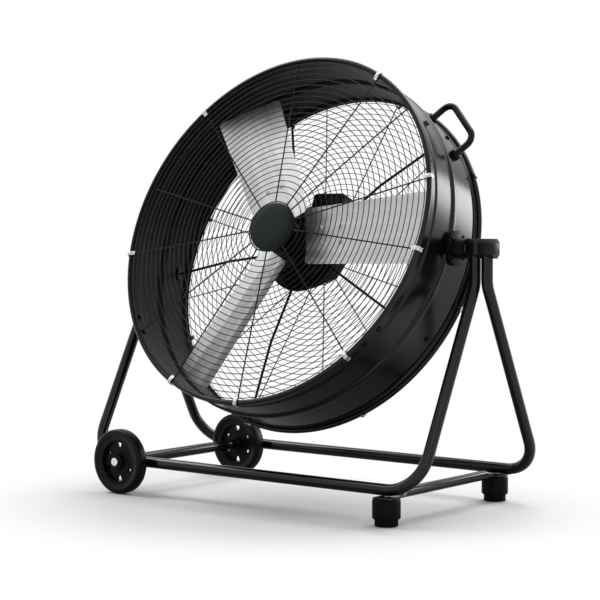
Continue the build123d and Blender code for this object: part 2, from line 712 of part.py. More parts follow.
def make_bracket_screws():
    """Screws that hold both pivot brackets to the drum wall."""
    head_radius, head_height = BOSS_SCREW_HEAD
    with BuildPart() as screws:
        for side in SIDES.values():
            for place in boss_screw_planes(side):
                rod(place, head_radius, head_height)
                rod(place.offset(BOSS_ROOT_X - BOSS_FLANGE_X), BOSS_SCREW_RADIUS, BOSS_FLANGE_X - BOSS_ROOT_X)
    return screws.part


def make_pivot_bolts():
    """Tilt bolts: fixed in the drum's brackets, running in the stand's blocks."""
    head_radius, head_height = BOLT_HEAD
    start = BOSS_END_X - BOLT_BITE
    with BuildPart() as bolts:
        for side in SIDES.values():
            shank = cross_plane(side * start, 0, PIVOT_HEIGHT, side)
            rod(shank, BOLT_RADIUS, RECESS_X + SEAT_GAP - start)
            head = cross_plane(side * (RECESS_X + SEAT_GAP), 0, PIVOT_HEIGHT, side)
            hexagon(head, head_radius, head_height)
    return bolts.part


def make_friction_washers():
    """Fibre washers that hold the drum at its tilt."""
    with BuildPart() as washers:
        for side in SIDES.values():
            seat = cross_plane(side * (BOSS_END_X + SEAT_GAP), 0, PIVOT_HEIGHT, side)
            rod(seat, BLOCK_DEPTH / 2, FRICTION_WASHER)
            rod(seat, BOLT_RADIUS + PUSH_FIT, FRICTION_WASHER, Mode.SUBTRACT)
    return washers.part


# -------------------------------------------------------------------- handle
def make_handle():
    """Bent round bar with a foot at each end."""
    middle = handle_plane()
    section = Plane(origin=middle.origin, x_dir=middle.x_dir, z_dir=middle.y_dir * -1)
    foot_radius, foot_height = HANDLE_FOOT
    sag = WALL_RADIUS - sqrt(WALL_RADIUS**2 - HANDLE_HALF_SPAN**2)
    low = -2 * sag
    span = HANDLE_HALF_SPAN
    with BuildPart() as handle:
        with BuildLine(section) as route:
            FilletPolyline(
                (-span, low), (-span, HANDLE_RISE), (span, HANDLE_RISE), (span, low),
                radius=[HANDLE_CORNER, HANDLE_CORNER],
            )
        start = route.line @ 0
        with BuildSketch(Plane(origin=start, z_dir=middle.z_dir)):
            Circle(HANDLE_ROD)
        sweep(path=route.line)
        for place in handle_planes():
            rod(place.offset(low), foot_radius, foot_height - low)
        add(drum_space(SEAT_GAP), mode=Mode.SUBTRACT)
        for place in handle_planes():
            rod(place.offset(low), HANDLE_SCREW[0] + PUSH_FIT, HANDLE_SCREW_BITE - low, Mode.SUBTRACT)
    return handle.part


def make_handle_screws():
    """Screws from inside the drum up into the handle's legs."""
    shank, head_radius, head_height = HANDLE_SCREW
    wall_drop = WALL_RADIUS - sqrt(WALL_INNER**2 - (HANDLE_HALF_SPAN + head_radius) ** 2)
    with BuildPart() as screws:
        for place in handle_planes():
            seat = place.offset(-wall_drop - SEAT_GAP)
            rod(seat.offset(-head_height), head_radius, head_height)
            rod(seat, shank, wall_drop + SEAT_GAP + HANDLE_SCREW_BITE - 1)
    return screws.part


# -------------------------------------------------------------------- guards
def guard_sketch(plane, angles):
    """Flat net of rings and spokes as one face with its gaps left open."""
    hub_inner, hub_outer = GUARD_HUB
    with BuildSketch(plane) as net:
        for index in range(RING_COUNT):
            radius = GUARD_RADIUS - RING_PITCH * index
            Circle(radius + RING_WIDTH / 2)
            Circle(radius - RING_WIDTH / 2, mode=Mode.SUBTRACT)
        Circle(hub_outer)
        for angle in angles:
            with Locations(Location((0, 0, 0), (0, 0, angle))):
                Rectangle(GUARD_RADIUS, SPOKE_WIDTH, align=(Align.MIN, Align.CENTER))
        Circle(hub_inner, mode=Mode.SUBTRACT)
    return net.sketch


def make_guard(station, angles):
    """Wire guard across one end of the drum."""
    with BuildPart() as guard:
        extrude(guard_sketch(HEAD.offset(station), angles), amount=GUARD_THICKNESS)
    return guard.part


def make_guard_clips():
    """Steel clips that hook the guards to the drum's rims."""
    length = RIM_RADIUS + SEAT_GAP + CLIP_SHEET - CLIP_INNER_RADIUS
    bases = [(FRONT_REACH, plane) for plane in clip_planes()]
    bases += [(REAR_REACH, plane) for plane in rear_clip_planes()]
    foot_length = GUARD_RADIUS - CLIP_INNER_RADIUS + 1
    with BuildPart() as clips:
        for reach, plane in bases:
            top = reach + SEAT_GAP
            guard_face = reach - GUARD_INSET + SEAT_GAP
            with Locations(plane.location):
                with Locations((CLIP_INNER_RADIUS + length / 2, 0, top + CLIP_SHEET / 2)):
                    Box(length, CLIP_WIDTH, CLIP_SHEET)
                with Locations((RIM_RADIUS + SEAT_GAP + CLIP_SHEET / 2, 0, top + CLIP_SHEET)):
                    Box(CLIP_SHEET, CLIP_WIDTH, CLIP_LIP, align=(Align.CENTER, Align.CENTER, Align.MAX))
                with Locations((CLIP_INNER_RADIUS, 0, guard_face)):
                    Box(foot_length, CLIP_WIDTH, top - guard_face, align=(Align.MIN, Align.CENTER, Align.MIN))
                with Locations((BEAD_RADIUS, 0, reach)):
                    Cylinder(CLIP_SCREW_RADIUS + PUSH_FIT, 4 * CLIP_SHEET, mode=Mode.SUBTRACT)
    return clips.part


def make_clip_screws():
    """Screws through the clips into the rolled rims."""
    head_radius, head_height = CLIP_SCREW_HEAD
    bases = [(FRONT_REACH, plane) for plane in clip_planes()]
    bases += [(REAR_REACH, plane) for plane in rear_clip_planes()]
    with BuildPart() as screws:
        for reach, plane in bases:
            seat = reach + SEAT_GAP + CLIP_SHEET
            tip = reach - CLIP_SCREW_BITE + 1
            with Locations(plane.location):
                with Locations((BEAD_RADIUS, 0, seat)):
                    Cylinder(head_radius, head_height, align=BASE)
                with Locations((BEAD_RADIUS, 0, tip)):
                    Cylinder(CLIP_SCREW_RADIUS, seat - tip, align=BASE)
    return screws.part


def cap_points(face, inward, hole):
    """Half section of a shallow cup: face station, direction to its open side, bore."""
    back = face + inward * CAP_SHEET
    lip = face + inward * CAP_DEPTH
    wall = CAP_RADIUS - CAP_SHEET
    return [(hole, face), (CAP_RADIUS, face), (CAP_RADIUS, lip), (wall, lip), (wall, back), (hole, back)]


def make_front_cap():
    """Plain round cap in the middle of the front guard."""
    with BuildPart() as cap:
        turned(*cap_points(FRONT_GUARD_STATION + GUARD_THICKNESS + CAP_PROUD, -1, 0))
        fillet(cap.edges().filter_by(GeomType.CIRCLE).sort_by(Axis(HEAD.origin, HEAD.z_dir))[-1], 1.2)
    return cap.part


def rear_cap_face():
    """Station of the rear cap's outer face."""
    return REAR_GUARD_STATION - CAP_PROUD


def make_rear_cap():
    """Round cap in the middle of the rear guard, which carries the speed switch."""
    with BuildPart() as cap:
        turned(*cap_points(rear_cap_face(), 1, SWITCH_BUSH[0] + PUSH_FIT))
    return cap.part


# --------------------------------------------------------------- speed switch
def make_speed_switch():
    """Rotary switch inside the rear cap, with a bush through it."""
    width, height, depth = SWITCH_SIZE
    bush_radius, bush_proud = SWITCH_BUSH
    inside = rear_cap_face() + CAP_SHEET
    with BuildPart() as switch:
        with Locations(HEAD.offset(inside).location):
            Box(width, height, depth, align=BASE)
        rod(HEAD.offset(rear_cap_face() - bush_proud), bush_radius, bush_proud + CAP_SHEET)
        bore = HEAD.offset(rear_cap_face() - bush_proud)
        rod(bore, KNOB_STEM[0] + RUNNING_FIT, KNOB_STEM[1], Mode.SUBTRACT)
    return switch.part


def make_speed_knob():
    """Round knob with finger grips and a stem into the switch."""
    face = rear_cap_face() - SWITCH_BUSH[1] - SEAT_GAP
    stem_radius, stem_length = KNOB_STEM
    back = Plane(origin=HEAD.origin + HEAD.z_dir * face, x_dir=HEAD.x_dir, z_dir=-HEAD.z_dir)
    with BuildPart() as knob:
        rod(back, KNOB_RADIUS, KNOB_LENGTH)
        with BuildSketch(back):
            with PolarLocations(KNOB_RADIUS + 1, KNOB_GRIPS):
                Circle(2.5)
        extrude(amount=KNOB_LENGTH, mode=Mode.SUBTRACT)
        with BuildSketch(back.offset(KNOB_LENGTH - 1)):
            with Locations((0, KNOB_RADIUS / 2)):
                Rectangle(2, KNOB_RADIUS - 5)
        extrude(amount=1, mode=Mode.SUBTRACT)
        rod(HEAD.offset(face), stem_radius, stem_length - 1)
    return knob.part


# --------------------------------------------------------------------- rotor
def blade_plane(angle, radius):
    """Plane across a blade at a radius: x along its chord, y off its front face."""
    turn = radians(BLADE_PITCH)
    around = outward(angle + 90)
    chord = around * cos(turn) + HEAD.z_dir * sin(turn)
    origin = HEAD.origin + HEAD.z_dir * BLADE_STATION + outward(angle) * radius
    return Plane(origin=origin, x_dir=chord, z_dir=outward(angle))


def blade_section(angle, radius, chord):
    """Outline of the folded sheet: a flat middle and a raised strip at each edge."""
    half = chord / 2
    fold = half - chord * BLADE_FOLD_SHARE
    front = [(-half, BLADE_FOLD), (-fold, 0), (fold, 0), (half, BLADE_FOLD)]
    back = [(x, y - BLADE_SHEET) for x, y in reversed(front)]
    return outline(blade_plane(angle, radius), *front, *back)


def rivet_planes(angle):
    """Places of a blade's rivets on its front face, facing forward."""
    length, width = RIVET_SPACING
    places = []
    for along in (-length / 2, length / 2):
        base = blade_plane(angle, RIVET_CENTRE + along)
        for across in (-width / 2, width / 2):
            origin = base.origin + base.x_dir * across
            places.append(Plane(origin=origin, x_dir=base.x_dir, z_dir=base.y_dir))
    return places


def make_blade(angle):
    """One folded sheet blade, trimmed to the drum's curve at its tip."""
    reach = BLADE_TIP_RADIUS * 1.03
    growth = (BLADE_TIP_CHORD - BLADE_ROOT_CHORD) / (BLADE_TIP_RADIUS - BLADE_ROOT_RADIUS)
    end_chord = BLADE_ROOT_CHORD + growth * (reach - BLADE_ROOT_RADIUS)
    root = blade_section(angle, BLADE_ROOT_RADIUS, BLADE_ROOT_CHORD)
    end = blade_section(angle, reach, end_chord)
    with BuildPart() as blade:
        loft([root, end], ruled=True)
        low = HEAD.offset(-REAR_REACH)
        rod(low, BLADE_TIP_RADIUS, FRONT_REACH + REAR_REACH, Mode.INTERSECT)
        for place in rivet_planes(angle):
            rod(place.offset(-BLADE_SHEET), RIVET_RADIUS + PUSH_FIT, BLADE_SHEET, Mode.SUBTRACT)
    return blade.part


def make_fan_hub():
    """Hub with three flat arms behind the blades."""
    low, high = HUB_STATIONS
    behind = -BLADE_SHEET - PUSH_FIT
    with BuildPart() as hub:
        rod(HEAD.offset(low), HUB_RADIUS, high - low)
        for angle in BLADE_ANGLES:
            arm = [
                (-ARM_WIDTH / 2, behind - ARM_THICKNESS),
                (ARM_WIDTH / 2, behind - ARM_THICKNESS),
                (ARM_WIDTH / 2, behind),
                (-ARM_WIDTH / 2, behind),
            ]
            extrude(outline(blade_plane(angle, ARM_LENGTH), *arm), amount=-ARM_LENGTH)
            for place in rivet_planes(angle):
                hole = place.offset(behind - 2 * ARM_THICKNESS)
                rod(hole, RIVET_RADIUS + PUSH_FIT, 3 * ARM_THICKNESS, Mode.SUBTRACT)
        rod(HEAD.offset(low), SHAFT_RADIUS + RUNNING_FIT, high - low, Mode.SUBTRACT)
    return hub.part


def make_blade_rivets():
    """Four rivets for each blade."""
    head_radius, head_height = RIVET_HEAD
    depth = BLADE_SHEET + PUSH_FIT + ARM_THICKNESS
    with BuildPart() as rivets:
        for angle in BLADE_ANGLES:
            for place in rivet_planes(angle):
                rod(place, head_radius, head_height)
                rod(place.offset(-depth), RIVET_RADIUS, depth)
                rod(place.offset(-depth - head_height), head_radius, head_height)
    return rivets.part


def make_hub_nut():
    """Nut that holds the hub on its shaft."""
    corner, height = HUB_NUT
    seat = HEAD.offset(HUB_STATIONS[1])
    with BuildPart() as nut:
        hexagon(seat, corner, height)
        rod(seat, SHAFT_RADIUS + RUNNING_FIT, height, Mode.SUBTRACT)
    return nut.part


def make_motor_shaft():
    """Steel shaft from the rear bearing out to the hub nut."""
    with BuildPart() as shaft:
        rod(HEAD.offset(SHAFT_REAR), SHAFT_RADIUS, SHAFT_FRONT - SHAFT_REAR)
    return shaft.part


def make_rotor_core():
    """Steel core pressed on the shaft inside the motor."""
    low, high = CORE_STATIONS
    with BuildPart() as core:
        rod(HEAD.offset(low), ROTOR_CORE_RADIUS, high - low)
        rod(HEAD.offset(low), SHAFT_RADIUS + RUNNING_FIT, high - low, Mode.SUBTRACT)
    return core.part


# --------------------------------------------------------------------- motor
def bell_points(face, root, taper):
    """Half section of an end bell: outer face, joint face and its sloped shoulder."""
    inward = 1 if root > face else -1
    wall = inward * BELL_WALL
    pocket = inward * (BELL_WALL + BEARING[1])
    bore = SHAFT_RADIUS + 1
    seat = BEARING[0] + PUSH_FIT
    outer = MOTOR_RADIUS - BELL_TAPER
    inner = MOTOR_RADIUS - MOTOR_WALL
    return [
        (bore, face),
        (outer, face),
        (MOTOR_RADIUS - taper, face + inward * BELL_TAPER),
        (MOTOR_RADIUS - taper, root),
        (inner, root),
        (inner, face + inward * BELL_TAPER + wall),
        (outer - BELL_WALL, face + wall),
        (seat + BELL_WALL, face + wall),
        (seat + BELL_WALL, face + pocket),
        (seat, face + pocket),
        (seat, face + wall),
        (bore, face + wall),
    ]


def make_front_bell():
    """Front end bell with its bearing seat."""
    with BuildPart() as bell:
        turned(*bell_points(*BELL_STATIONS, 0))
    return bell.part


def make_rear_bell():
    """Rear end bell with its bearing seat and the lead's inlet."""
    inlet_x, inlet_y = LEAD_INLET
    depth = MOTOR_WALL + 4
    with BuildPart() as bell:
        turned(*bell_points(MOTOR_REAR, BODY_END, 1.0))
        start = head_point(inlet_x - depth, inlet_y, LEAD_STATION)
        inlet = Plane(origin=start, x_dir=HEAD.y_dir, z_dir=HEAD.x_dir)
        rod(inlet, INLET_RADIUS, depth)
    return bell.part


def make_motor_housing():
    """Motor body with the flange that bolts to the cradle."""
    start = BELL_STATIONS[1]
    inner = MOTOR_RADIUS - MOTOR_WALL
    with BuildPart() as housing:
        turned(
            (inner, start),
            (FLANGE_RADIUS, start),
            (FLANGE_RADIUS, start - FLANGE_THICKNESS),
            (MOTOR_RADIUS, start - FLANGE_THICKNESS),
            (MOTOR_RADIUS, BODY_END),
            (inner, BODY_END),
        )
        for place in cradle_bolt_planes():
            rod(place.offset(-FLANGE_THICKNESS), CRADLE_BOLT_RADIUS + PUSH_FIT, FLANGE_THICKNESS, Mode.SUBTRACT)
    return housing.part


def make_stator_core():
    """Laminated stator ring with its slots."""
    low, high = CORE_STATIONS
    with BuildPart() as core:
        rod(HEAD.offset(low), MOTOR_RADIUS - MOTOR_WALL - PUSH_FIT, high - low)
        rod(HEAD.offset(low), ROTOR_CORE_RADIUS + AIR_GAP, high - low, Mode.SUBTRACT)
    return core.part


def make_bearings():
    """Front and rear ball bearings, each as one ring."""
    radius, width = BEARING
    front = BELL_STATIONS[0] - BELL_WALL - width
    rear = MOTOR_REAR + BELL_WALL
    with BuildPart() as bearings:
        for station in (front, rear):
            rod(HEAD.offset(station), radius, width)
            rod(HEAD.offset(station), SHAFT_RADIUS + RUNNING_FIT, width, Mode.SUBTRACT)
    return bearings.part


def cradle_bolt_planes():
    """Places of the bolts through the motor's flange, facing the outlet."""
    places = []
    for angle in CRADLE_BOLT_ANGLES:
        origin = HEAD.origin + outward(angle) * CRADLE_BOLT_CIRCLE + HEAD.z_dir * BELL_STATIONS[1]
        places.append(Plane(origin=origin, x_dir=HEAD.x_dir, z_dir=HEAD.z_dir))
    return places


def make_cradle():
    """Ring and five bent rods that carry the motor in the drum."""
    ring_inner = MOTOR_RADIUS + SEAT_GAP
    foot_length, foot_width, foot_height = CRADLE_FOOT
    foot_radius = WALL_INNER - foot_height / 2
    with BuildPart() as cradle:
        turned(
            (ring_inner, CRADLE_STATION),
            (FLANGE_RADIUS, CRADLE_STATION),
            (FLANGE_RADIUS, CRADLE_STATION - FLANGE_THICKNESS),
            (ring_inner, CRADLE_STATION - FLANGE_THICKNESS),
        )
        for angle in CRADLE_ANGLES:
            side = Plane(origin=HEAD.origin, x_dir=outward(angle), z_dir=outward(angle - 90))
            run = [
                (ring_inner + 2, CRADLE_ROD_STATION),
                (CRADLE_BEND_RADIUS, CRADLE_ROD_STATION),
                (foot_radius, CRADLE_END_STATION),
            ]
            with BuildLine(side) as route:
                FilletPolyline(*run, radius=[10 * CRADLE_ROD_RADIUS])
            with BuildSketch(Plane(origin=route.line @ 0, z_dir=outward(angle))) as rod_end:
                Circle(CRADLE_ROD_RADIUS)
            sweep(rod_end.sketch, path=route.line)
            with Locations(wall_plane(angle, foot_radius, CRADLE_END_STATION).location):
                Box(foot_width, foot_length, foot_height)
        rod(HEAD.offset(-REAR_REACH), WALL_INNER - SEAT_GAP, REAR_REACH, Mode.INTERSECT)
        for place in cradle_foot_planes():
            rod(place.offset(-20), CRADLE_BOLT_RADIUS + PUSH_FIT, 20, Mode.SUBTRACT)
        for place in cradle_bolt_planes():
            hole = place.offset(-4 * FLANGE_THICKNESS)
            rod(hole, CRADLE_BOLT_RADIUS + PUSH_FIT, 4 * FLANGE_THICKNESS, Mode.SUBTRACT)
    return cradle.part


def make_cradle_bolts():
    """Bolts from the motor's flange into the cradle, and from the wall into its feet."""
    head_radius, head_height = CRADLE_BOLT_HEAD
    with BuildPart() as bolts:
        for place in cradle_bolt_planes():
            hexagon(place, head_radius, head_height)
            rod(place.offset(-2 * FLANGE_THICKNESS), CRADLE_BOLT_RADIUS, 2 * FLANGE_THICKNESS)
        for place in cradle_foot_planes():
            hexagon(place.offset(PUSH_FIT), head_radius, head_height)
            depth = SHEET + CRADLE_FOOT[2]
            rod(place.offset(-depth), CRADLE_BOLT_RADIUS, depth + PUSH_FIT)
    return bolts.part


# -------------------------------------------------------------- junction box
def box_planes(height):
    """Plane across the box at a height above the fan's axis; its z points up."""
    x, station = BOX_CENTRE
    return Plane(origin=head_point(x, height, station), x_dir=HEAD.x_dir, z_dir=HEAD.y_dir)


def make_junction_box():
    """Box on top of the motor, open above for its lid."""
    width, depth = BOX_SIZE
    with BuildPart() as box:
        with BuildSketch(box_planes(BOX_BOTTOM)):
            RectangleRounded(width, depth, BOX_CORNER)
        extrude(amount=BOX_SPLIT - BOX_BOTTOM)
        with BuildSketch(box_planes(BOX_FLOOR)):
            RectangleRounded(width - 2 * BOX_WALL, depth - 2 * BOX_WALL, BOX_CORNER - BOX_WALL)
        extrude(amount=BOX_SPLIT - BOX_FLOOR, mode=Mode.SUBTRACT)
        rod(HEAD.offset(-REAR_REACH), MOTOR_RADIUS + SEAT_GAP, REAR_REACH, Mode.SUBTRACT)
        rod(gland_plane().offset(-2 * BOX_WALL), LEAD_RADIUS + PUSH_FIT, 3 * BOX_WALL, Mode.SUBTRACT)
    return box.part


def make_box_lid():
    """Lid with a sloped edge all round."""
    with BuildPart() as lid:
        with BuildSketch(box_planes(BOX_SPLIT)):
            RectangleRounded(*BOX_SIZE, BOX_CORNER)
        extrude(amount=BOX_TOP - BOX_SPLIT)
        top = lid.faces().sort_by(Axis(HEAD.origin, HEAD.y_dir))[-1]
        chamfer(top.edges(), (BOX_TOP - BOX_SPLIT) * 0.6)
    return lid.part


def make_capacitor():
    """Round capacitor that lies on the floor of the box."""
    radius, length = CAPACITOR
    x, station = BOX_CENTRE
    start = head_point(x - length / 2, BOX_FLOOR + SEAT_GAP + radius, station)
    with BuildPart() as capacitor:
        rod(Plane(origin=start, x_dir=HEAD.y_dir, z_dir=HEAD.x_dir), radius, length)
    return capacitor.part


def gland_plane():
    """Plane on the box's side where the gland sits, facing +X."""
    origin = head_point(BOX_CENTRE[0] + BOX_SIZE[0] / 2, GLAND_HEIGHT, LEAD_STATION)
    return Plane(origin=origin, x_dir=HEAD.y_dir, z_dir=HEAD.x_dir)


def make_gland():
    """Cable gland with a six-sided foot and a round nut."""
    foot = GLAND_LENGTH * 0.35
    with BuildPart() as gland:
        hexagon(gland_plane(), GLAND_RADIUS, foot)
        rod(gland_plane().offset(foot), GLAND_RADIUS * 0.8, GLAND_LENGTH - foot)
        rod(gland_plane(), LEAD_RADIUS + PUSH_FIT, GLAND_LENGTH, Mode.SUBTRACT)
    return gland.part


def lead_route():
    """Corners of the motor lead in the lead's own cross plane, gland first."""
    inlet_x, inlet_y = LEAD_INLET
    near_gland, widest, near_inlet = LEAD_BOW
    start = BOX_CENTRE[0] + BOX_SIZE[0] / 2
    return [
        (start, GLAND_HEIGHT),
        (near_gland, GLAND_HEIGHT),
        widest,
        (near_inlet, inlet_y),
        (inlet_x, inlet_y),
    ]


def bend_radius(before, corner, after):
    """Largest bend that leaves room for its neighbours at one corner of a route."""
    first = Vector(*corner) - Vector(*before)
    second = Vector(*after) - Vector(*corner)
    half_turn = radians(first.get_angle(second)) / 2
    return LEAD_BEND_SHARE * min(first.length, second.length) / tan(half_turn)


def make_motor_lead():
    """Lead from the gland round to the inlet in the motor's rear bell."""
    points = lead_route()
    radii = [bend_radius(*corner) for corner in zip(points, points[1:], points[2:])]
    with BuildPart() as lead:
        with BuildLine(HEAD.offset(LEAD_STATION)) as route:
            FilletPolyline(*points, radius=radii)
        with BuildSketch(Plane(origin=route.line @ 0, z_dir=HEAD.x_dir)):
            Circle(LEAD_RADIUS)
        sweep(path=route.line)
    return lead.part


# ---------------------------------------------------------------- wall bolts
def make_wall_bolts():
    """Bolt and nut pairs low on the drum wall."""
    head_radius, head_height = WALL_BOLT_HEAD
    with BuildPart() as bolts:
        for place in wall_bolt_planes():
            hexagon(place.offset(PUSH_FIT), head_radius, head_height)
            rod(place.offset(-SHEET - 2 * head_height), WALL_BOLT_RADIUS, SHEET + 2 * head_height + PUSH_FIT)
            hexagon(place.offset(-SHEET - head_height - PUSH_FIT), head_radius, head_height)
    return bolts.part


# ----------------------------------------------------------------- build all
def main():
    os.makedirs("parts", exist_ok=True)
    front_face = -(WHEEL_FACE + WHEEL_WIDTH)
    rear_face = INNER_WHEEL_FACE - WHEEL_WIDTH

    save(make_frame_tube(FRONT_LEG_X, -1), "front_frame_tube")
    save(make_frame_tube(REAR_LEG_X, 1), "rear_frame_tube")
    save(make_cross_bar(), "foot_cross_bar")
    save(make_foot(-1), "front_foot")
    save(make_foot(1), "rear_foot")
    save(make_foot_pads(), "foot_pads")
    save(make_foot_screws(), "foot_screws")
    save(make_axle_tube(), "axle_cross_tube")
    save(make_axle(), "wheel_axle")
    save(make_axle_caps(), "axle_end_caps")
    save(make_axle_washers(), "axle_washers")
    for name, face in {"front": front_face, "rear": rear_face}.items():
        save(make_tyre(face), f"{name}_tyre")
        save(make_rim(face), f"{name}_wheel_rim")
        save(make_bush(face), f"{name}_wheel_bush")
    for name, side in SIDES.items():
        save(make_pivot_block(side, INNER_BLOCK, FRONT_LEG_X, False), f"{name}_inner_pivot_block")
        save(make_pivot_block(side, OUTER_BLOCK, REAR_LEG_X, True), f"{name}_outer_pivot_block")
        save(make_pivot_bracket(side), f"{name}_pivot_bracket")
    save(make_pivot_caps(), "pivot_caps")
    save(make_bracket_screws(), "bracket_screws")
    save(make_pivot_bolts(), "pivot_bolts")
    save(make_friction_washers(), "friction_washers")

    save(make_drum_shell(), "drum_shell")
    save(make_handle(), "carry_handle")
    save(make_handle_screws(), "handle_screws")
    save(make_wall_bolts(), "wall_bolts")
    save(make_guard(FRONT_GUARD_STATION, FRONT_SPOKES), "front_guard")
    save(make_guard(REAR_GUARD_STATION, REAR_SPOKES), "rear_guard")
    save(make_guard_clips(), "guard_clips")
    save(make_clip_screws(), "clip_screws")
    save(make_front_cap(), "front_guard_cap")
    save(make_rear_cap(), "rear_guard_cap")
    save(make_speed_switch(), "speed_switch")
    save(make_speed_knob(), "speed_knob")

    save(make_motor_shaft(), "motor_shaft")
    save(make_rotor_core(), "rotor_core")
    save(make_fan_hub(), "fan_hub")
    save(make_hub_nut(), "hub_nut")
    for index, angle in enumerate(BLADE_ANGLES, start=1):
        save(make_blade(angle), f"blade_{index}")
    save(make_blade_rivets(), "blade_rivets")

    save(make_front_bell(), "motor_front_bell")
    save(make_motor_housing(), "motor_housing")
    save(make_rear_bell(), "motor_rear_bell")
    save(make_stator_core(), "stator_core")
    save(make_bearings(), "motor_bearings")
    save(make_cradle(), "motor_cradle")
    save(make_cradle_bolts(), "cradle_bolts")
    save(make_junction_box(), "junction_box")
    save(make_box_lid(), "junction_box_lid")
    save(make_capacitor(), "run_capacitor")
    save(make_gland(), "cable_gland")
    save(make_motor_lead(), "motor_lead")


if __name__ == "__main__":
    main()
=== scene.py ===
from math import cos, pi, radians, sin, sqrt, tau

import bmesh
import bpy
from bpy.props import FloatProperty, FloatVectorProperty, IntProperty, PointerProperty
from mathutils import Matrix, Vector


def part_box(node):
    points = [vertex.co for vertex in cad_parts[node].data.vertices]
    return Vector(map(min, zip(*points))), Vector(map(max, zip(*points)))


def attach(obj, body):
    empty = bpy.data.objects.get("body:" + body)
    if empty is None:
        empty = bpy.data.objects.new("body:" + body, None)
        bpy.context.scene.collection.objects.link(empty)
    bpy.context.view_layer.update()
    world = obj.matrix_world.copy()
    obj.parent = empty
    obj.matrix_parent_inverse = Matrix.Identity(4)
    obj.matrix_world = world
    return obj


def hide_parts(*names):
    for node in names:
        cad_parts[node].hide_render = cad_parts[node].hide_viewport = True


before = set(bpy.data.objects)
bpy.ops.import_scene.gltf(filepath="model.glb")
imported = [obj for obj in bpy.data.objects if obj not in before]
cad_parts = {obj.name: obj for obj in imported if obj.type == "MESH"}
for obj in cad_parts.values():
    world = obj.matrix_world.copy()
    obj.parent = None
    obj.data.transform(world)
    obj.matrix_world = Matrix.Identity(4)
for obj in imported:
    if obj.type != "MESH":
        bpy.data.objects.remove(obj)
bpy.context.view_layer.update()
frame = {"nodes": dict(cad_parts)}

bl_info = {
    "name": "Drum Fan",
    "version": (1, 0, 0),
    "blender": (4, 5, 0),
    "location": "3D View > Sidebar > Drum Fan",
    "description": "Builds a wheeled drum fan and its photo stage on the loaded frame",
    "category": "Add Mesh",
}

# The fan's own axes: across, up the tilted face, and out towards the outlet.
TILT = radians(22)
PIVOT_HEIGHT = 0.575
AXIS_Y = 0.018
HEAD = Matrix(
    (
        (1, 0, 0, 0),
        (0, sin(TILT), -cos(TILT), AXIS_Y),
        (0, cos(TILT), sin(TILT), PIVOT_HEIGHT),
        (0, 0, 0, 1),
    )
)
FORWARD = HEAD.to_3x3() @ Vector((0, 0, 1))
UP = HEAD.to_3x3() @ Vector((0, 1, 0))
FRONT_REACH = 0.130
REAR_REACH = 0.095
RIM_RADIUS = 0.420
BEAD = 0.006
BEAD_RADIUS = RIM_RADIUS - BEAD
WALL = RIM_RADIUS - 0.009
SHEET = 0.002
# Outer face of the drum's wall between its rolled rims: radius and station.
WALL_LINE = (
    (WALL, 0.094),
    (WALL + 0.002, 0.090),
    (WALL + 0.002, 0.030),
    (WALL + 0.007, 0.026),
    (WALL + 0.007, 0.014),
    (WALL, 0.010),
    (WALL, -0.067),
    (WALL - 0.005, -0.071),
    (WALL - 0.005, -0.079),
    (WALL, -0.083),
)
FRONT_SPOKES = (96, 61, 43, 16, -7, -45, -86, -115, -140, -170, 166, 135)
FRONT_CLIPS = (61, 16, -7, -45, -86, -115, -170, 135)
REAR_SPOKES = tuple(range(15, 360, 30))
REAR_CLIPS = tuple(range(30, 390, 45))
FRONT_GUARD = FRONT_REACH - 0.0055
REAR_GUARD = 0.002 - REAR_REACH
BLADE_ANGLES = (124, 4, -116)
RIVET_RADII = (0.092, 0.144)
RIVET_ACROSS = (-0.017, 0.017)
CRADLE_ANGLES = tuple(44 + 72 * i for i in range(5))
CRADLE_BOLT_ANGLES = tuple(80 + 72 * i for i in range(5))
WHEEL_X = -0.352
RAIL_HEIGHT = 0.075
RAIL_SPREAD = 0.212
FOOT_X = 0.388
WALL_BOLT_ANGLES = (-39, -33, -147, -141)
WALL_BOLT_STATION = 0.108
CRADLE_STATION = -0.048
# What keeps the seat of a head clear of the face it sits on.
CLEAR = 0.0002


# ---------------------------------------------------------------- node trees
class Value:
    """One socket of a node tree, which takes part in ordinary sums."""

    def __init__(self, tree, socket):
        self.tree = tree
        self.socket = socket

    def maths(self, operation, *terms, clamp=False):
        node = self.tree.nodes.new("ShaderNodeMath")
        node.operation = operation
        node.use_clamp = clamp
        for socket, term in zip(node.inputs, terms):
            feed(self.tree, socket, term)
        return Value(self.tree, node.outputs[0])

    def __add__(self, other):
        return self.maths("ADD", self, other)

    def __sub__(self, other):
        return self.maths("SUBTRACT", self, other)

    def __rsub__(self, other):
        return self.maths("SUBTRACT", other, self)

    def __mul__(self, other):
        return self.maths("MULTIPLY", self, other)

    def clamped(self):
        return self.maths("ADD", self, 0.0, clamp=True)

    def wave(self):
        return self.maths("SINE", self)

    def between(self, low, high):
        """0 below low, 1 above high and smooth in between."""
        node = self.tree.nodes.new("ShaderNodeMapRange")
        node.interpolation_type = "SMOOTHSTEP"
        feed(self.tree, node.inputs["Value"], self)
        node.inputs["From Min"].default_value = low
        node.inputs["From Max"].default_value = high
        return Value(self.tree, node.outputs["Result"])

    def part(self, name):
        """Another output of the same node."""
        return Value(self.tree, self.socket.node.outputs[name])


def feed(tree, socket, value):
    """Links a value to a socket, or sets the socket to it."""
    if isinstance(value, Value):
        tree.links.new(value.socket, socket)
    else:
        socket.default_value = value


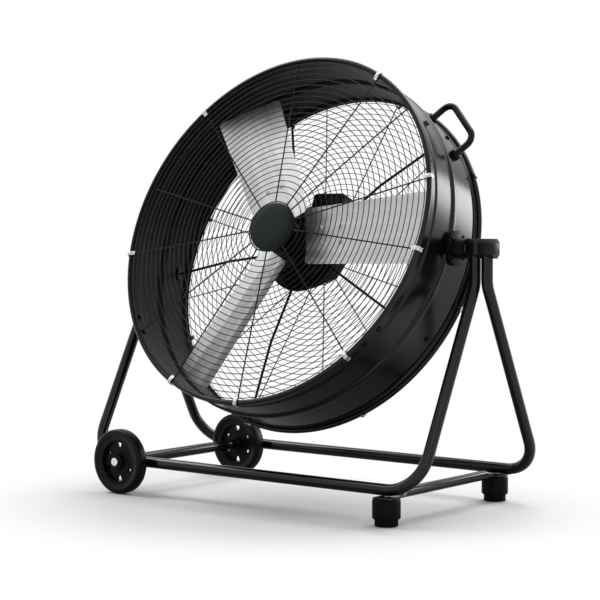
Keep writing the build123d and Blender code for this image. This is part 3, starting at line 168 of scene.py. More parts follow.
class Tree:
    """Adds nodes to one node tree."""

    def __init__(self, tree):
        self.tree = tree

    def add(self, kind, sockets=None, out=0, **settings):
        """One node with its settings and what goes into its sockets; gives back one of its outputs."""
        node = self.tree.nodes.new(kind)
        for name, value in settings.items():
            setattr(node, name, value)
        for name, value in (sockets or {}).items():
            feed(self.tree, node.inputs[name], value)
        return Value(self.tree, node.outputs[out])


class Paint(Tree):
    """A new material on the Principled shader."""

    def __init__(self, name, colour, roughness, metallic=0.0, specular=0.5):
        self.material = bpy.data.materials.new(name)
        self.material.use_nodes = True
        self.material.diffuse_color = (*colour, 1.0)
        super().__init__(self.material.node_tree)
        self.shader = self.tree.nodes["Principled BSDF"].inputs
        self.shader["Base Color"].default_value = (*colour, 1.0)
        self.shader["Roughness"].default_value = roughness
        self.shader["Metallic"].default_value = metallic
        self.shader["Specular IOR Level"].default_value = specular
        self.colour = colour
        self.place = self.add("ShaderNodeTexCoord", out="Object")

    def noise(self, scale, detail=2.0, roughness=0.5, place=None):
        sockets = {"Vector": place or self.place, "Scale": scale, "Detail": detail, "Roughness": roughness}
        return self.add("ShaderNodeTexNoise", sockets)

    def cells(self, scale):
        return self.add("ShaderNodeTexVoronoi", {"Vector": self.place, "Scale": scale}, "Distance")

    def dot(self, place, direction):
        """How far a place lies along a direction."""
        sockets = {0: place, 1: tuple(direction)}
        return self.add("ShaderNodeVectorMath", sockets, "Value", operation="DOT_PRODUCT")

    def stretched(self, scale, place=None, turn=(0.0, 0.0, 0.0)):
        sockets = {"Vector": place or self.place, "Scale": scale, "Rotation": turn}
        return self.add("ShaderNodeMapping", sockets)

    def blend(self, mask, first, second):
        sockets = {0: mask, 6: _rgba(first), 7: _rgba(second)}
        return self.add("ShaderNodeMix", sockets, 2, data_type="RGBA")

    def tint(self, mask, times, add=0.0):
        """Makes the colour brighter, or darker, where the mask says so."""
        self.set("Base Color", self.blend(mask, self.colour, lighter(self.colour, times, add)))

    def set(self, socket, value):
        feed(self.tree, self.shader[socket], value)

    def bump(self, height, depth):
        self.set("Normal", self.add("ShaderNodeBump", {"Height": height, "Distance": depth}, "Normal"))


def _rgba(colour):
    return colour if isinstance(colour, Value) else (*colour, 1.0)


# ------------------------------------------------------------------ finishes
def lighter(colour, times, add=0.0):
    """The same colour, brighter or darker."""
    return tuple(min(1.0, c * times + add) for c in colour)


def enamel(name, colour, roughness, specular):
    """Black baked enamel: orange peel, cloudy gloss and a little dust."""
    paint = Paint(name, colour, roughness, specular=specular)
    peel = paint.noise(300.0, 1.0)
    cloud = paint.noise(6.0, 3.0)
    grain = paint.noise(2600.0, 2.0)
    dust = paint.noise(38.0, 8.0, 0.75).between(0.56, 0.78)
    paint.tint(dust * 0.5, 1.6, 0.006)
    paint.set("Roughness", cloud * 0.14 + grain * 0.05 + dust * 0.10 + (roughness - 0.10))
    paint.bump(peel + grain * 0.2, 0.00005)
    return paint.material


def drum_enamel(name, colour):
    """Glossy enamel on rolled sheet, with faint rolling marks round the drum and painted shade on its inner
    face.
    """
    paint = Paint(name, colour, 0.16, specular=0.24)
    station = paint.dot(paint.place, FORWARD)
    marks = paint.noise(1.0, 3.0, place=paint.stretched((3.0, 3.0, 3.0)))
    rolled = (station * 1500.0 + marks * 6.0).wave()
    peel = paint.noise(260.0, 1.0)
    cloud = paint.noise(4.0, 4.0)
    dust = paint.noise(30.0, 9.0, 0.78).between(0.55, 0.8)
    # Painted shade: where a face looks towards the axis, the colour drops to a tenth and turns metallic. This
    # darkens the drum's inside and dims its reflections; the face is also rougher there.
    inward = paint.add("ShaderNodeAttribute", out="Fac", attribute_name="inward")
    dusty = paint.blend(dust * 0.5, colour, lighter(colour, 1.8, 0.006))
    paint.set("Base Color", paint.blend(inward * 0.9, dusty, lighter(colour, 0.1)))
    paint.set("Metallic", inward * 0.9)
    paint.set("Roughness", cloud * 0.12 + dust * 0.10 + 0.13 + inward * 0.34)
    paint.bump(peel + rolled * 0.12, 0.00004)
    return paint.material


def moulded(name, colour, roughness, specular, grain=0.00006):
    """Moulded plastic with a fine eroded grain."""
    paint = Paint(name, colour, roughness, specular=specular)
    fine = paint.noise(1900.0, 3.0, 0.6)
    pits = paint.cells(900.0)
    cloud = paint.noise(18.0, 3.0)
    rub = paint.noise(60.0, 6.0, 0.7).between(0.58, 0.75)
    paint.tint(rub * 0.5, 1.5, 0.004)
    paint.set("Roughness", cloud * 0.12 + fine * 0.08 + (roughness - 0.10))
    paint.bump(fine + pits * 0.5, grain)
    return paint.material


def rubber(name, colour, roughness, specular):
    """Dull rubber with dust in its grain."""
    paint = Paint(name, colour, roughness, specular=specular)
    fine = paint.noise(1200.0, 4.0, 0.65)
    dust = paint.noise(45.0, 8.0, 0.75).between(0.5, 0.8)
    paint.tint(dust * 0.6, 1.5, 0.008)
    paint.set("Roughness", fine * 0.12 + dust * 0.10 + (roughness - 0.06))
    paint.bump(fine, 0.00009)
    return paint.material


def plated(name, colour, roughness):
    """Bright plated steel with cloudy patches and fine scratches."""
    paint = Paint(name, colour, roughness, metallic=1.0)
    patches = paint.cells(240.0)
    cloud = paint.noise(90.0, 5.0, 0.65)
    scratch = paint.noise(1.0, 2.0, place=paint.stretched((160.0, 5200.0, 900.0), turn=(0.4, 0.7, 0.2)))
    paint.tint(cloud.between(0.45, 0.7) * 0.6, 0.72)
    worn = cloud * 0.16 + scratch.between(0.5, 0.8) * 0.10
    paint.set("Roughness", patches * 0.12 + worn + (roughness - 0.14))
    paint.bump(scratch * 0.5 + cloud * 0.4, 0.00002)
    return paint.material


def blade_sheet(name, colour):
    """Mill-finish aluminium sheet, brushed from root to tip."""
    paint = Paint(name, colour, 0.36, metallic=1.0)
    sheet = paint.add("ShaderNodeUVMap", uv_map="sheet")
    brush = paint.noise(1.0, 4.0, 0.6, place=paint.stretched((2600.0, 14.0, 1.0), sheet))
    broad = paint.noise(1.0, 2.0, 0.5, place=paint.stretched((70.0, 1.6, 1.0), sheet))
    stain = paint.noise(24.0, 6.0, 0.7).between(0.5, 0.78)
    tone = (brush * 0.35 + broad * 0.75 - 0.1).clamped()
    paint.set("Base Color", paint.blend(tone, lighter(colour, 0.62), lighter(colour, 1.08)))
    paint.set("Roughness", brush * 0.16 + broad * 0.10 + stain * 0.12 + 0.22)
    paint.bump(brush + broad * 2.0, 0.00003)
    return paint.material


def laminated(name, colour):
    """Stacked sheet steel: fine bands across the fan's axis."""
    paint = Paint(name, colour, 0.45, metallic=1.0)
    station = paint.dot(paint.place, FORWARD)
    bands = (station * 9000.0).wave() * 0.5 + 0.5
    rust = paint.noise(70.0, 6.0, 0.7).between(0.5, 0.75)
    paint.tint(bands * 0.5, 0.5)
    paint.set("Roughness", rust * 0.3 + 0.35)
    paint.bump(bands, 0.00006)
    return paint.material


def satin_cap(name, colour):
    """Smooth dark slate paint with a soft sheen."""
    paint = Paint(name, colour, 0.55, specular=0.05)
    fine = paint.noise(1500.0, 2.0)
    cloud = paint.noise(9.0, 3.0)
    dust = paint.noise(55.0, 8.0, 0.75).between(0.58, 0.8)
    paint.tint(dust * 0.35 + cloud * 0.2, 1.35, 0.003)
    paint.set("Roughness", cloud * 0.10 + fine * 0.06 + 0.42)
    paint.bump(fine, 0.00003)
    return paint.material


# Each finish: what makes it, its colour, how much of that colour, and the maker's other values.
FINISHES = {
    "frame_enamel": (enamel, "frame", 1, 0.17, 0.30),
    "handle_enamel": (enamel, "frame", 1, 0.28, 0.14),
    "bracket_enamel": (enamel, "frame", 1, 0.34, 0.10),
    "wire_enamel": (enamel, "wire", 1, 0.34, 0.18),
    "motor_enamel": (enamel, "motor", 1, 0.5, 0.08),
    "hub_enamel": (enamel, "motor", 1, 0.42, 0.08),
    "drum_enamel": (drum_enamel, "drum", 1),
    "guard_cap_paint": (satin_cap, "guard_cap", 1),
    "block_gloss": (moulded, "plastic", 1, 0.2, 0.30, 0.00001),
    "block_grey": (moulded, "block", 1, 0.36, 0.22),
    "foot_plastic": (moulded, "plastic", 1, 0.42, 0.08),
    "rim_plastic": (moulded, "plastic", 1, 0.34, 0.08),
    "box_plastic": (moulded, "plastic", 1, 0.5, 0.06),
    "knob_plastic": (moulded, "plastic", 1, 0.45, 0.2),
    "bush_plastic": (moulded, (0.55, 0.54, 0.5), 1, 0.4, 0.4, 0.00002),
    "can_plastic": (moulded, (0.68, 0.68, 0.65), 1, 0.38, 0.4, 0.00002),
    "washer_fibre": (moulded, (0.07, 0.06, 0.05), 1, 0.7, 0.4),
    "tyre_rubber": (rubber, "rubber", 1, 0.32, 0.12),
    "pad_rubber": (rubber, "rubber", 1, 0.66, 0.06),
    "lead_rubber": (rubber, "rubber", 0.8, 0.66, 0.06),
    "clip_zinc": (plated, "steel", 0.8, 0.34),
    "screw_zinc": (plated, "steel", 0.9, 0.32),
    "axle_steel": (plated, "steel", 0.85, 0.3),
    "bright_cap": (plated, "steel", 1.1, 0.18),
    "bearing_steel": (plated, "steel", 1, 0.2),
    "blade_sheet": (blade_sheet, "blade", 1),
    "rivet_aluminium": (plated, "blade", 0.6, 0.5),
    "core_steel": (laminated, (0.32, 0.32, 0.33), 1),
}


def finish(name):
    """The named material, made the first time it is asked for."""
    made = bpy.data.materials.get("look_" + name)
    if made is None:
        maker, colour, share, *values = FINISHES[name]
        if isinstance(colour, str):
            colour = getattr(bpy.context.scene.fan_colours, colour)
        made = maker("look_" + name, lighter(colour, share), *values)
    return made


# --------------------------------------------------------- geometry node trees
class GeometryTree(Tree):
    """A new geometry tree with a geometry input, then the named ones, which it holds as given."""

    def __init__(self, name, inputs):
        super().__init__(bpy.data.node_groups.new(name, "GeometryNodeTree"))
        self.tree.is_modifier = True
        interface = self.tree.interface
        interface.new_socket("Geometry", in_out="INPUT", socket_type="NodeSocketGeometry")
        for label, (kind, default) in inputs.items():
            socket = interface.new_socket(label, in_out="INPUT", socket_type="NodeSocket" + kind)
            if default is not None:
                socket.default_value = default
        interface.new_socket("Geometry", in_out="OUTPUT", socket_type="NodeSocketGeometry")
        source = self.tree.nodes.new("NodeGroupInput")
        self.given = {s.name: Value(self.tree, s) for s in source.outputs if s.name}

    def circle(self, sides, radius):
        return self.add("GeometryNodeCurvePrimitiveCircle", {"Resolution": sides, "Radius": radius})

    def swept(self, curve, radius, sides):
        """A round bar along a curve."""
        sockets = {"Curve": curve, "Profile Curve": self.circle(sides, radius), "Fill Caps": True}
        return self.add("GeometryNodeCurveToMesh", sockets)

    def place(self, x=0.0, y=0.0, z=0.0):
        return self.add("ShaderNodeCombineXYZ", {"X": x, "Y": y, "Z": z})

    def read(self, name, kind):
        """What each input point holds under a name."""
        return self.add("GeometryNodeInputNamedAttribute", {"Name": name}, data_type=kind)

    def real(self, shape):
        return self.add("GeometryNodeRealizeInstances", {"Geometry": shape})

    def copies(self, points, pattern, **more):
        """The pattern at each point, turned or sized as the other inputs say."""
        sockets = {"Points": points, "Instance": pattern, **more}
        return self.add("GeometryNodeInstanceOnPoints", sockets)

    def end(self, shape):
        """Makes the shape real, gives it its material and sends it out."""
        sockets = {"Geometry": self.real(shape), "Material": self.given["Material"]}
        done = self.add("GeometryNodeSetMaterial", sockets)
        feed(self.tree, self.tree.nodes.new("NodeGroupOutput").inputs[0], done)
        return self.tree


# Sides of a ring's wire and of a spoke, and the segments of a ring, of the hub's ring and of a spoke.
WIRE_SIDES, SPOKE_SIDES = 6, 8
RING_SEGMENTS, HUB_SEGMENTS, SPOKE_SEGMENTS = 160, 96, 18


def wire_net_tree():
    """Round wire rings about a centre, with a spoke at each input point."""
    tree = GeometryTree(
        "fan_wire_net",
        {
            "Outer Radius": ("Float", 0.385),
            "Ring Pitch": ("Float", 0.014),
            "Ring Count": ("Int", 23),
            "Wire Radius": ("Float", 0.0015),
            "Hub Radius": ("Float", 0.0595),
            "Spoke Radius": ("Float", 0.002),
            "Spoke Drop": ("Float", -0.003),
            "Hook Drop": ("Float", -0.006),
            "Material": ("Material", None),
        },
    )
    given = tree.given
    outer, hub_radius, drop = given["Outer Radius"], given["Hub Radius"], given["Spoke Drop"]

    spots = tree.add("GeometryNodeMeshLine", {"Count": given["Ring Count"], "Offset": (0.0, 0.0, 0.0)})
    radius = outer - given["Ring Pitch"] * tree.add("GeometryNodeInputIndex")
    ring = tree.circle(RING_SEGMENTS, 1.0)
    circles = tree.real(tree.copies(spots, ring, Scale=tree.place(radius, radius, 1.0)))
    rings = tree.swept(circles, given["Wire Radius"], WIRE_SIDES)
    hub = tree.swept(tree.circle(HUB_SEGMENTS, hub_radius), given["Spoke Radius"], SPOKE_SIDES)

    sockets = {
        "Resolution": SPOKE_SEGMENTS,
        "Start": tree.place(hub_radius, z=drop),
        "Start Handle": tree.place(outer * 0.75, z=drop),
        "End Handle": tree.place(outer, z=drop),
        "End": tree.place(outer + 0.003, z=drop + given["Hook Drop"]),
    }
    spoke = tree.add("GeometryNodeCurvePrimitiveBezierSegment", sockets, mode="POSITION")
    spokes = tree.real(tree.copies(given["Geometry"], spoke, Rotation=tree.read("turn", "FLOAT_VECTOR")))
    bars = tree.swept(spokes, given["Spoke Radius"], SPOKE_SIDES)

    joined = tree.tree.nodes.new("GeometryNodeJoinGeometry")
    for shape in (rings, hub, bars):
        tree.tree.links.new(shape.socket, joined.inputs[0])
    return tree.end(Value(tree.tree, joined.outputs[0]))


def copies_tree():
    """A copy of one object at each input point, turned by the point's own attribute."""
    tree = GeometryTree("fan_copies", {"Shape": ("Object", None), "Material": ("Material", None)})
    given = tree.given
    pattern = tree.add("GeometryNodeObjectInfo", {"Object": given["Shape"]}, "Geometry")
    turn = tree.read("turn", "FLOAT_VECTOR")
    return tree.end(tree.copies(given["Geometry"], pattern, Rotation=turn))


def bent_bar_tree():
    """A round bar along each input line, bent at its corners by the points' own radii."""
    tree = GeometryTree(
        "fan_bent_bar",
        {
            "Bar Radius": ("Float", 0.0125),
            "Sides": ("Int", 32),
            "Bend Steps": ("Int", 16),
            "Material": ("Material", None),
        },
    )
    given = tree.given
    line = tree.add("GeometryNodeMeshToCurve", {"Mesh": given["Geometry"]})
    radius = tree.read("bend", "FLOAT")
    sockets = {"Curve": line, "Count": given["Bend Steps"], "Radius": radius, "Limit Radius": False}
    route = tree.add("GeometryNodeFilletCurve", sockets, mode="POLY")
    return tree.end(tree.swept(route, given["Bar Radius"], given["Sides"]))


TREES = {"fan_wire_net": wire_net_tree, "fan_copies": copies_tree, "fan_bent_bar": bent_bar_tree}


def points_mesh(points, lines=(), turns=None, bends=None):
    """Points, the lines between them, and what a geometry tree reads from each."""
    mesh = bpy.data.meshes.new("points")
    mesh.from_pydata([tuple(p) for p in points], list(lines), [])
    if turns is not None:
        values = [angle for turn in turns for angle in turn]
        mesh.attributes.new("turn", "FLOAT_VECTOR", "POINT").data.foreach_set("vector", values)
    if bends is not None:
        mesh.attributes.new("bend", "FLOAT", "POINT").data.foreach_set("value", bends)
    return mesh


def grown(name, base, **values):
    """The plain mesh that the named geometry tree makes from a base mesh."""
    tree = bpy.data.node_groups.get(name) or TREES[name]()
    holder = bpy.data.objects.new("holder", base)
    bpy.context.scene.collection.objects.link(holder)
    modifier = holder.modifiers.new("grow", "NODES")
    modifier.node_group = tree
    labels = {label.replace("_", " ").title(): value for label, value in values.items()}
    for item in tree.interface.items_tree:
        if item.in_out == "INPUT" and item.name in labels:
            modifier[item.identifier] = labels.pop(item.name)
    if labels:
        raise RuntimeError(f"{name} has no input named {sorted(labels)}")
    bpy.context.view_layer.update()
    graph = bpy.context.evaluated_depsgraph_get()
    mesh = bpy.data.meshes.new_from_object(holder.evaluated_get(graph), depsgraph=graph)
    holder.modifiers.remove(modifier)
    bpy.data.objects.remove(holder)
    if not mesh.polygons:
        raise RuntimeError(f"{name} made an empty mesh")
    return mesh


def copied(shape, places, material):
    """One mesh with a copy of a bmesh shape at each place."""
    pattern = bpy.data.objects.new("pattern", plain_mesh(shape))
    bpy.context.scene.collection.objects.link(pattern)
    turns = [place.to_euler() for place in places]
    base = points_mesh([place.translation for place in places], turns=turns)
    made = grown("fan_copies", base, shape=pattern, material=material)
    bpy.data.objects.remove(pattern)
    return made


def bars(routes, radius, material, sides, steps):
    """One mesh of round bars; a route is a list of (point, bend radius)."""
    points, lines, bends = [], [], []
    for route in routes:
        first = len(points)
        points += [point for point, bend in route]
        bends += [bend for point, bend in route]
        lines += [(i, i + 1) for i in range(first, len(points) - 1)]
    base = points_mesh(points, lines, bends=bends)
    return grown("fan_bent_bar", base, bar_radius=radius, sides=sides, bend_steps=steps, material=material)


# --------------------------------------------------------------- mesh helpers
def smooth(mesh, angle=38):
    """Smooth shading with sharp edges where faces meet at more than the angle."""
    mesh.shade_smooth()
    mesh.set_sharp_from_angle(angle=radians(angle))


def along(normal, origin, across=(0, 0, 1)):
    """A place whose own Z points along a normal."""
    z = Vector(normal).normalized()
    x = Vector(across).cross(z)
    if x.length < 1e-6:
        x = Vector((0, 1, 0)).cross(z)
    return facing(x.normalized(), z, origin)


def facing(out, normal, origin):
    """A place whose own X points outwards and whose Z points along a normal."""
    return Matrix.Translation(origin) @ Matrix((out, normal.cross(out), normal)).transposed().to_4x4()


def spot(radius, turn):
    """A flat point by radius and angle."""
    return radius * cos(turn), radius * sin(turn)


def polar(angle, radius, station):
    """A point by angle seen from the outlet, radius and station along the fan's axis."""
    return HEAD @ Vector((*spot(radius, radians(angle)), station))


def outward(angle):
    """Direction away from the fan's axis."""
    return HEAD.to_3x3() @ Vector((*spot(1.0, radians(angle)), 0))


def rounded(points, radius, steps, closed=True):
    """An outline with its corners rounded."""
    result = []
    count = len(points)
    for i, corner in enumerate(points):
        if not closed and i in (0, count - 1):
            result.append(tuple(corner))
            continue
        corner = Vector(corner)
        before = Vector(points[i - 1]) - corner
        after = Vector(points[(i + 1) % count]) - corner
        reach = min(radius, before.length * 0.45, after.length * 0.45)
        first = corner + before.normalized() * reach
        last = corner + after.normalized() * reach
        for k in range(steps + 1):
            t = k / steps
            result.append(tuple(first * (1 - t) ** 2 + corner * 2 * t * (1 - t) + last * t**2))
    return result


def add_turned(shape, outline, steps, place=HEAD):
    """Adds a closed outline of radius and height, turned about the place's Z."""
    rings = []
    for radius, height in outline:
        count = steps if radius > 1e-7 else 1
        points = [Vector((*spot(radius, tau * k / steps), height)) for k in range(count)]
        rings.append([shape.verts.new(place @ point) for point in points])
    for ring, following in zip(rings, rings[1:] + rings[:1]):
        if len(ring) == 1 and len(following) == 1:
            continue
        for k in range(steps):
            n = (k + 1) % steps
            corners = [ring[k % len(ring)], ring[n % len(ring)]]
            corners += [following[n % len(following)], following[k % len(following)]]
            unique = list(dict.fromkeys(corners))
            if len(unique) > 2:
                shape.faces.new(unique)


def turned(outline, steps, place=HEAD):
    """A new shape of one closed outline, turned about the place's Z."""
    shape = bmesh.new()
    add_turned(shape, outline, steps, place)
    return shape


def soften(shape, edges, width, segments=2):
    """Rounds the given edges of a shape."""
    kind = {"profile": 0.5, "affect": "EDGES", "clamp_overlap": True}
    bmesh.ops.bevel(shape, geom=edges, offset=width, segments=segments, **kind)


def add_prism(shape, outline, low, high, place, bevel=0.0, segments=2):
    """Adds a flat closed outline raised from low to high, with its edges softened."""
    bottom = [shape.verts.new(place @ Vector((x, y, low))) for x, y in outline]
    top = [shape.verts.new(place @ Vector((x, y, high))) for x, y in outline]
    faces = [shape.faces.new(bottom[::-1]), shape.faces.new(top)]
    count = len(outline)
    for i in range(count):
        n = (i + 1) % count
        faces.append(shape.faces.new((bottom[i], bottom[n], top[n], top[i])))
    if bevel:
        edges = {e for face in faces for e in face.edges}
        soften(shape, [e for e in edges if e.calc_face_angle(0.0) > radians(25)], bevel, segments)


def polygon(count, radius):
    """A regular flat outline."""
    return [spot(radius, tau * i / count) for i in range(count)]


def band(inner, outer, low, high):
    """Four corners of a ring's section: two radii and two heights."""
    return [(inner, low), (outer, low), (outer, high), (inner, high)]


def rectangle(width, height, corner=0.0, steps=5):
    """A flat rectangle about its centre, its corners rounded if asked."""
    w, h = width / 2, height / 2
    outline = [(-w, -h), (w, -h), (w, h), (-w, h)]
    return rounded(outline, corner, steps) if corner else outline


def outwards(shape):
    """The same shape with its faces turned outwards."""
    bmesh.ops.recalc_face_normals(shape, faces=shape.faces)
    return shape


def plain_mesh(shape, angle=38):
    """A smooth mesh from a shape, which is used up."""
    mesh = bpy.data.meshes.new("shape")
    shape.to_mesh(mesh)
    shape.free()
    smooth(mesh, angle)
    return mesh


def finished_mesh(shape, angle=38, merge=True):
    """A smooth mesh from a shape: merged and facing outwards."""
    if merge:
        bmesh.ops.remove_doubles(shape, verts=shape.verts, dist=1e-6)
    return plain_mesh(outwards(shape), angle)


def softened(node, width, angle=28, segments=2):
    """A copy of a CAD node's mesh with its sharp edges rounded."""
    shape = bmesh.new()
    shape.from_mesh(frame["nodes"][node].data)
    bmesh.ops.remove_doubles(shape, verts=shape.verts, dist=2e-6)
    flat = {"angle_limit": radians(0.4), "delimit": set()}
    bmesh.ops.dissolve_limit(shape, verts=shape.verts, edges=shape.edges, **flat)
    sharp = [e for e in shape.edges if e.is_manifold and e.calc_face_angle(0.0) > radians(angle)]
    soften(shape, sharp, width, segments)
    bmesh.ops.triangulate(shape, faces=[f for f in shape.faces if len(f.verts) > 4])
    return plain_mesh(shape, 35)


def show(name, mesh, material, body, slot, *nodes):
    """Puts a mesh into the scene as one piece of the fan."""
    mesh.name = name
    mesh.materials.clear()
    mesh.materials.append(finish(material))
    piece = bpy.data.objects.new(name, mesh)
    bpy.context.scene.collection.objects.link(piece)
    if nodes:
        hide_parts(*nodes)
    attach(piece, body)


def show_softened(name, node, width, material, body, slot, **edges):
    """Shows a CAD node with its sharp edges rounded."""
    show(name, softened(node, width, **edges), material, body, slot, node)


def show_copies(name, shape, places, material, body, slot, *nodes):
    """Shows one small shape at many places."""
    show(name, copied(shape, places, finish(material)), material, body, slot, *nodes)


def keep(material, *nodes):
    """Gives CAD nodes that keep their shape a material of their own."""
    for node in nodes:
        slots = frame["nodes"][node].material_slots
        if not slots:
            frame["nodes"][node].data.materials.append(finish(material))
        for slot in slots:
            slot.material = finish(material)


# ------------------------------------------------------------ small hardware
def hex_bolt(corner, height, washer):
    """Six-sided head with a chamfered top and a washer face below."""
    shape = turned(rounded(band(0, washer, 0, height * 0.18), 0.0003, 2), 24, Matrix())
    add_prism(shape, polygon(6, corner), height * 0.1, height, Matrix(), corner * 0.09)
    dome = [(0, height), (corner * 0.55, height), (corner * 0.4, height * 1.04), (0, height * 1.06)]
    add_turned(shape, dome, 18, Matrix())
    return outwards(shape)


def pan_screw(radius, height):
    """Domed head with a cross recess."""
    floor = height * 0.45
    outline = [(0, 0), (radius, 0), (radius, height * 0.35)]
    outline += [(radius * cos(t), height * (0.35 + 0.65 * sin(t))) for t in (0.3, 0.6, 0.9, 1.15)]
    outline += [(radius * 0.30, height), (radius * 0.22, floor), (0, floor)]
    shape = outwards(turned(outline, 24, Matrix()))
    for turn in (0, pi / 2):
        slot = rectangle(radius * 1.15, radius * 0.2)
        add_prism(shape, slot, height * 0.985, height, Matrix.Rotation(turn, 4, "Z"))
    return outwards(shape)


def rivet(radius, height):
    """Low round rivet head."""
    dome = [(radius * cos(t), height * sin(t)) for t in (0, 0.3, 0.6, 0.9, 1.2)]
    return outwards(turned([(0, 0), *dome, (0, height)], 20, Matrix()))


# ------------------------------------------------------------------ settings
def length(name, description, default):
    kind = {"min": 0.0, "unit": "LENGTH", "subtype": "DISTANCE"}
    return FloatProperty(name=name, description=description, default=default, **kind)


def colour(name, description, default):
    kind = {"min": 0.0, "max": 1.0, "size": 3, "subtype": "COLOR"}
    return FloatVectorProperty(name=name, description=description, default=default, **kind)


def number(name, description, default, unit):
    return FloatProperty(name=name, description=description, default=default, unit=unit)


class FanSizes(bpy.types.PropertyGroup):
    """Sizes of the pieces that repeat or can be dressed differently."""

    ring_pitch: length("Ring Pitch", "Distance from one guard ring to the next", 0.014)
    wire_radius: length("Wire Radius", "Radius of a guard's ring wire", 0.00105)
    spoke_radius: length("Spoke Radius", "Radius of a guard's spoke wire", 0.0016)
    blade_fold: length("Blade Fold", "How far a blade's edges stand off its middle", 0.007)
    tube_radius: length("Tube Radius", "Radius of the stand's tubes", 0.0125)
    ring_count: IntProperty(name="Ring Count", description="Rings in each guard", default=24, min=1)
    fin_count: IntProperty(name="Fin Count", description="Cooling fins round the motor", default=72, min=3)


class FanColours(bpy.types.PropertyGroup):
    """Base colours of the finishes."""

    frame: colour("Frame", "Enamel of the stand", (0.0035, 0.0035, 0.0038))
    drum: colour("Drum", "Enamel of the drum", (0.0030, 0.0030, 0.0033))
    wire: colour("Wire", "Coating of the guards", (0.006, 0.006, 0.0065))
    motor: colour("Motor", "Paint of the motor and hub", (0.004, 0.004, 0.0043))
    guard_cap: colour("Guard Cap", "Paint of the round caps", (0.0150, 0.0225, 0.0230))
    plastic: colour("Plastic", "Moulded black plastic", (0.0035, 0.0035, 0.0038))
    block: colour("Pivot Block", "Moulded dark grey plastic", (0.009, 0.0092, 0.010))
    rubber: colour("Rubber", "Tyres, pads and lead", (0.0045, 0.0045, 0.0045))
    steel: colour("Steel", "Plated clips and screws", (0.66, 0.66, 0.64))
    blade: colour("Blade", "Aluminium sheet of the blades", (0.74, 0.745, 0.75))


class FanStage(bpy.types.PropertyGroup):
    """Camera and light."""

    lens: number("Lens", "Focal length", 103.07, "CAMERA")
    camera_place: FloatVectorProperty(
        name="Camera Place",
        description="Where the camera stands",
        default=(2.4489, -3.0896, 0.6255),
        subtype="TRANSLATION",
        unit="LENGTH",
    )
    heading: number("Heading", "Turn of the camera about Z", radians(38.338), "ROTATION")
    dip: number("Dip", "How far the camera looks down", radians(2.506), "ROTATION")
    key_power: number("Key Power", "Power of the main lamp", 78.0, "POWER")
    floor: colour("Floor", "Colour of the floor", (0.86, 0.86, 0.86))


# ----------------------------------------------------------------- the drum
LONG_RUN, HOLD_GAP = 0.015, 0.001


def mark_shaded_inside(mesh):
    """Stores on every vertex how much its normal looks towards the drum's axis: the mask of the painted shade
    inside the drum.
    """
    inward = []
    for vertex in mesh.vertices:
        arm = vertex.co - Vector((0.0, AXIS_Y, PIVOT_HEIGHT))
        arm -= arm.project(FORWARD)
        inward.append(max(0.0, -vertex.normal.dot(arm.normalized())))
    mesh.attributes.new("inward", "FLOAT", "POINT").data.foreach_set("value", inward)
    return mesh


def held(points):
    """Adds a point close to both ends of every long run, so that its shading stays flat."""
    result = points[:1]
    for start, end in zip(points, points[1:]):
        run = Vector(end) - Vector(start)
        if run.length > LONG_RUN:
            edge = run.normalized() * HOLD_GAP
            result += [tuple(Vector(start) + edge), tuple(Vector(end) - edge)]
        result.append(end)
    return result


# Where the sheet's outer and inner faces run into the rolled rims, short of the rims' faces,
# and the arc that a rim goes through between them.
OUTER_TUCK, INNER_TUCK = 0.0112, 0.0093
RIM_ARC = (213.6, -120)
RIM_STEPS = 20


def rim_arc(station, start, end):
    """Points of one rolled rim between two angles."""
    turns = [radians(start + (end - start) * k / RIM_STEPS) for k in range(1, RIM_STEPS)]
    return [(BEAD_RADIUS + BEAD * cos(turn), station + BEAD * sin(turn)) for turn in turns]


def drum_outline():
    """Closed section of the drum: rolled rims at both ends of one folded sheet."""
    line = [(WALL, FRONT_REACH - OUTER_TUCK), *WALL_LINE, (WALL, OUTER_TUCK - REAR_REACH)]
    outer = held(rounded(line, 0.004, 4, closed=False))
    inner = [(r - SHEET, a) for r, a in reversed(outer)]
    inner[0] = (WALL - SHEET, INNER_TUCK - REAR_REACH)
    inner[-1] = (WALL - SHEET, FRONT_REACH - INNER_TUCK)
    start, end = RIM_ARC
    rear = rim_arc(BEAD - REAR_REACH, -end, -start)
    front = rim_arc(FRONT_REACH - BEAD, start, end)
    return outer + rear + inner + front


class FAN_OT_drum(bpy.types.Operator):
    """Makes the rolled steel drum and the bolts on its wall"""

    bl_idname = "fan.drum"
    bl_label = "Drum"

    def execute(self, context):
        mesh = mark_shaded_inside(finished_mesh(turned(drum_outline(), 240), 50))
        show("drum", mesh, "drum_enamel", "drum", "drum_paint", "drum_shell")
        places = [along(outward(a), polar(a, WALL + CLEAR, WALL_BOLT_STATION)) for a in WALL_BOLT_ANGLES]
        inside = WALL - SHEET - CLEAR
        places += [along(-outward(a), polar(a, inside, WALL_BOLT_STATION)) for a in WALL_BOLT_ANGLES]
        bolt = hex_bolt(0.0060, 0.0042, 0.0072)
        show_copies("wall_bolt_heads", bolt, places, "hub_enamel", "drum", "screw_steel", "wall_bolts")
        return {"FINISHED"}


# --------------------------------------------------------------- the guards
# Stations of the rings' planes and of the caps' faces.
FRONT_RINGS, REAR_RINGS = FRONT_GUARD + 0.0019, REAR_GUARD + 0.0016
FRONT_CAP, REAR_CAP = FRONT_GUARD + 0.0065, REAR_GUARD - 0.003
# How thick the rear guard's wires are, as a share of the front one's.
REAR_WIRE = 0.8
# How far the outer ring lies inside the rim, the ring that the spokes start from, how far a spoke lies
# off the rings and how much further its hook goes.
GUARD_INSET, GUARD_HUB = 0.015, 0.0595
SPOKE_DROP, HOOK_DROP = 0.0030, 0.0015


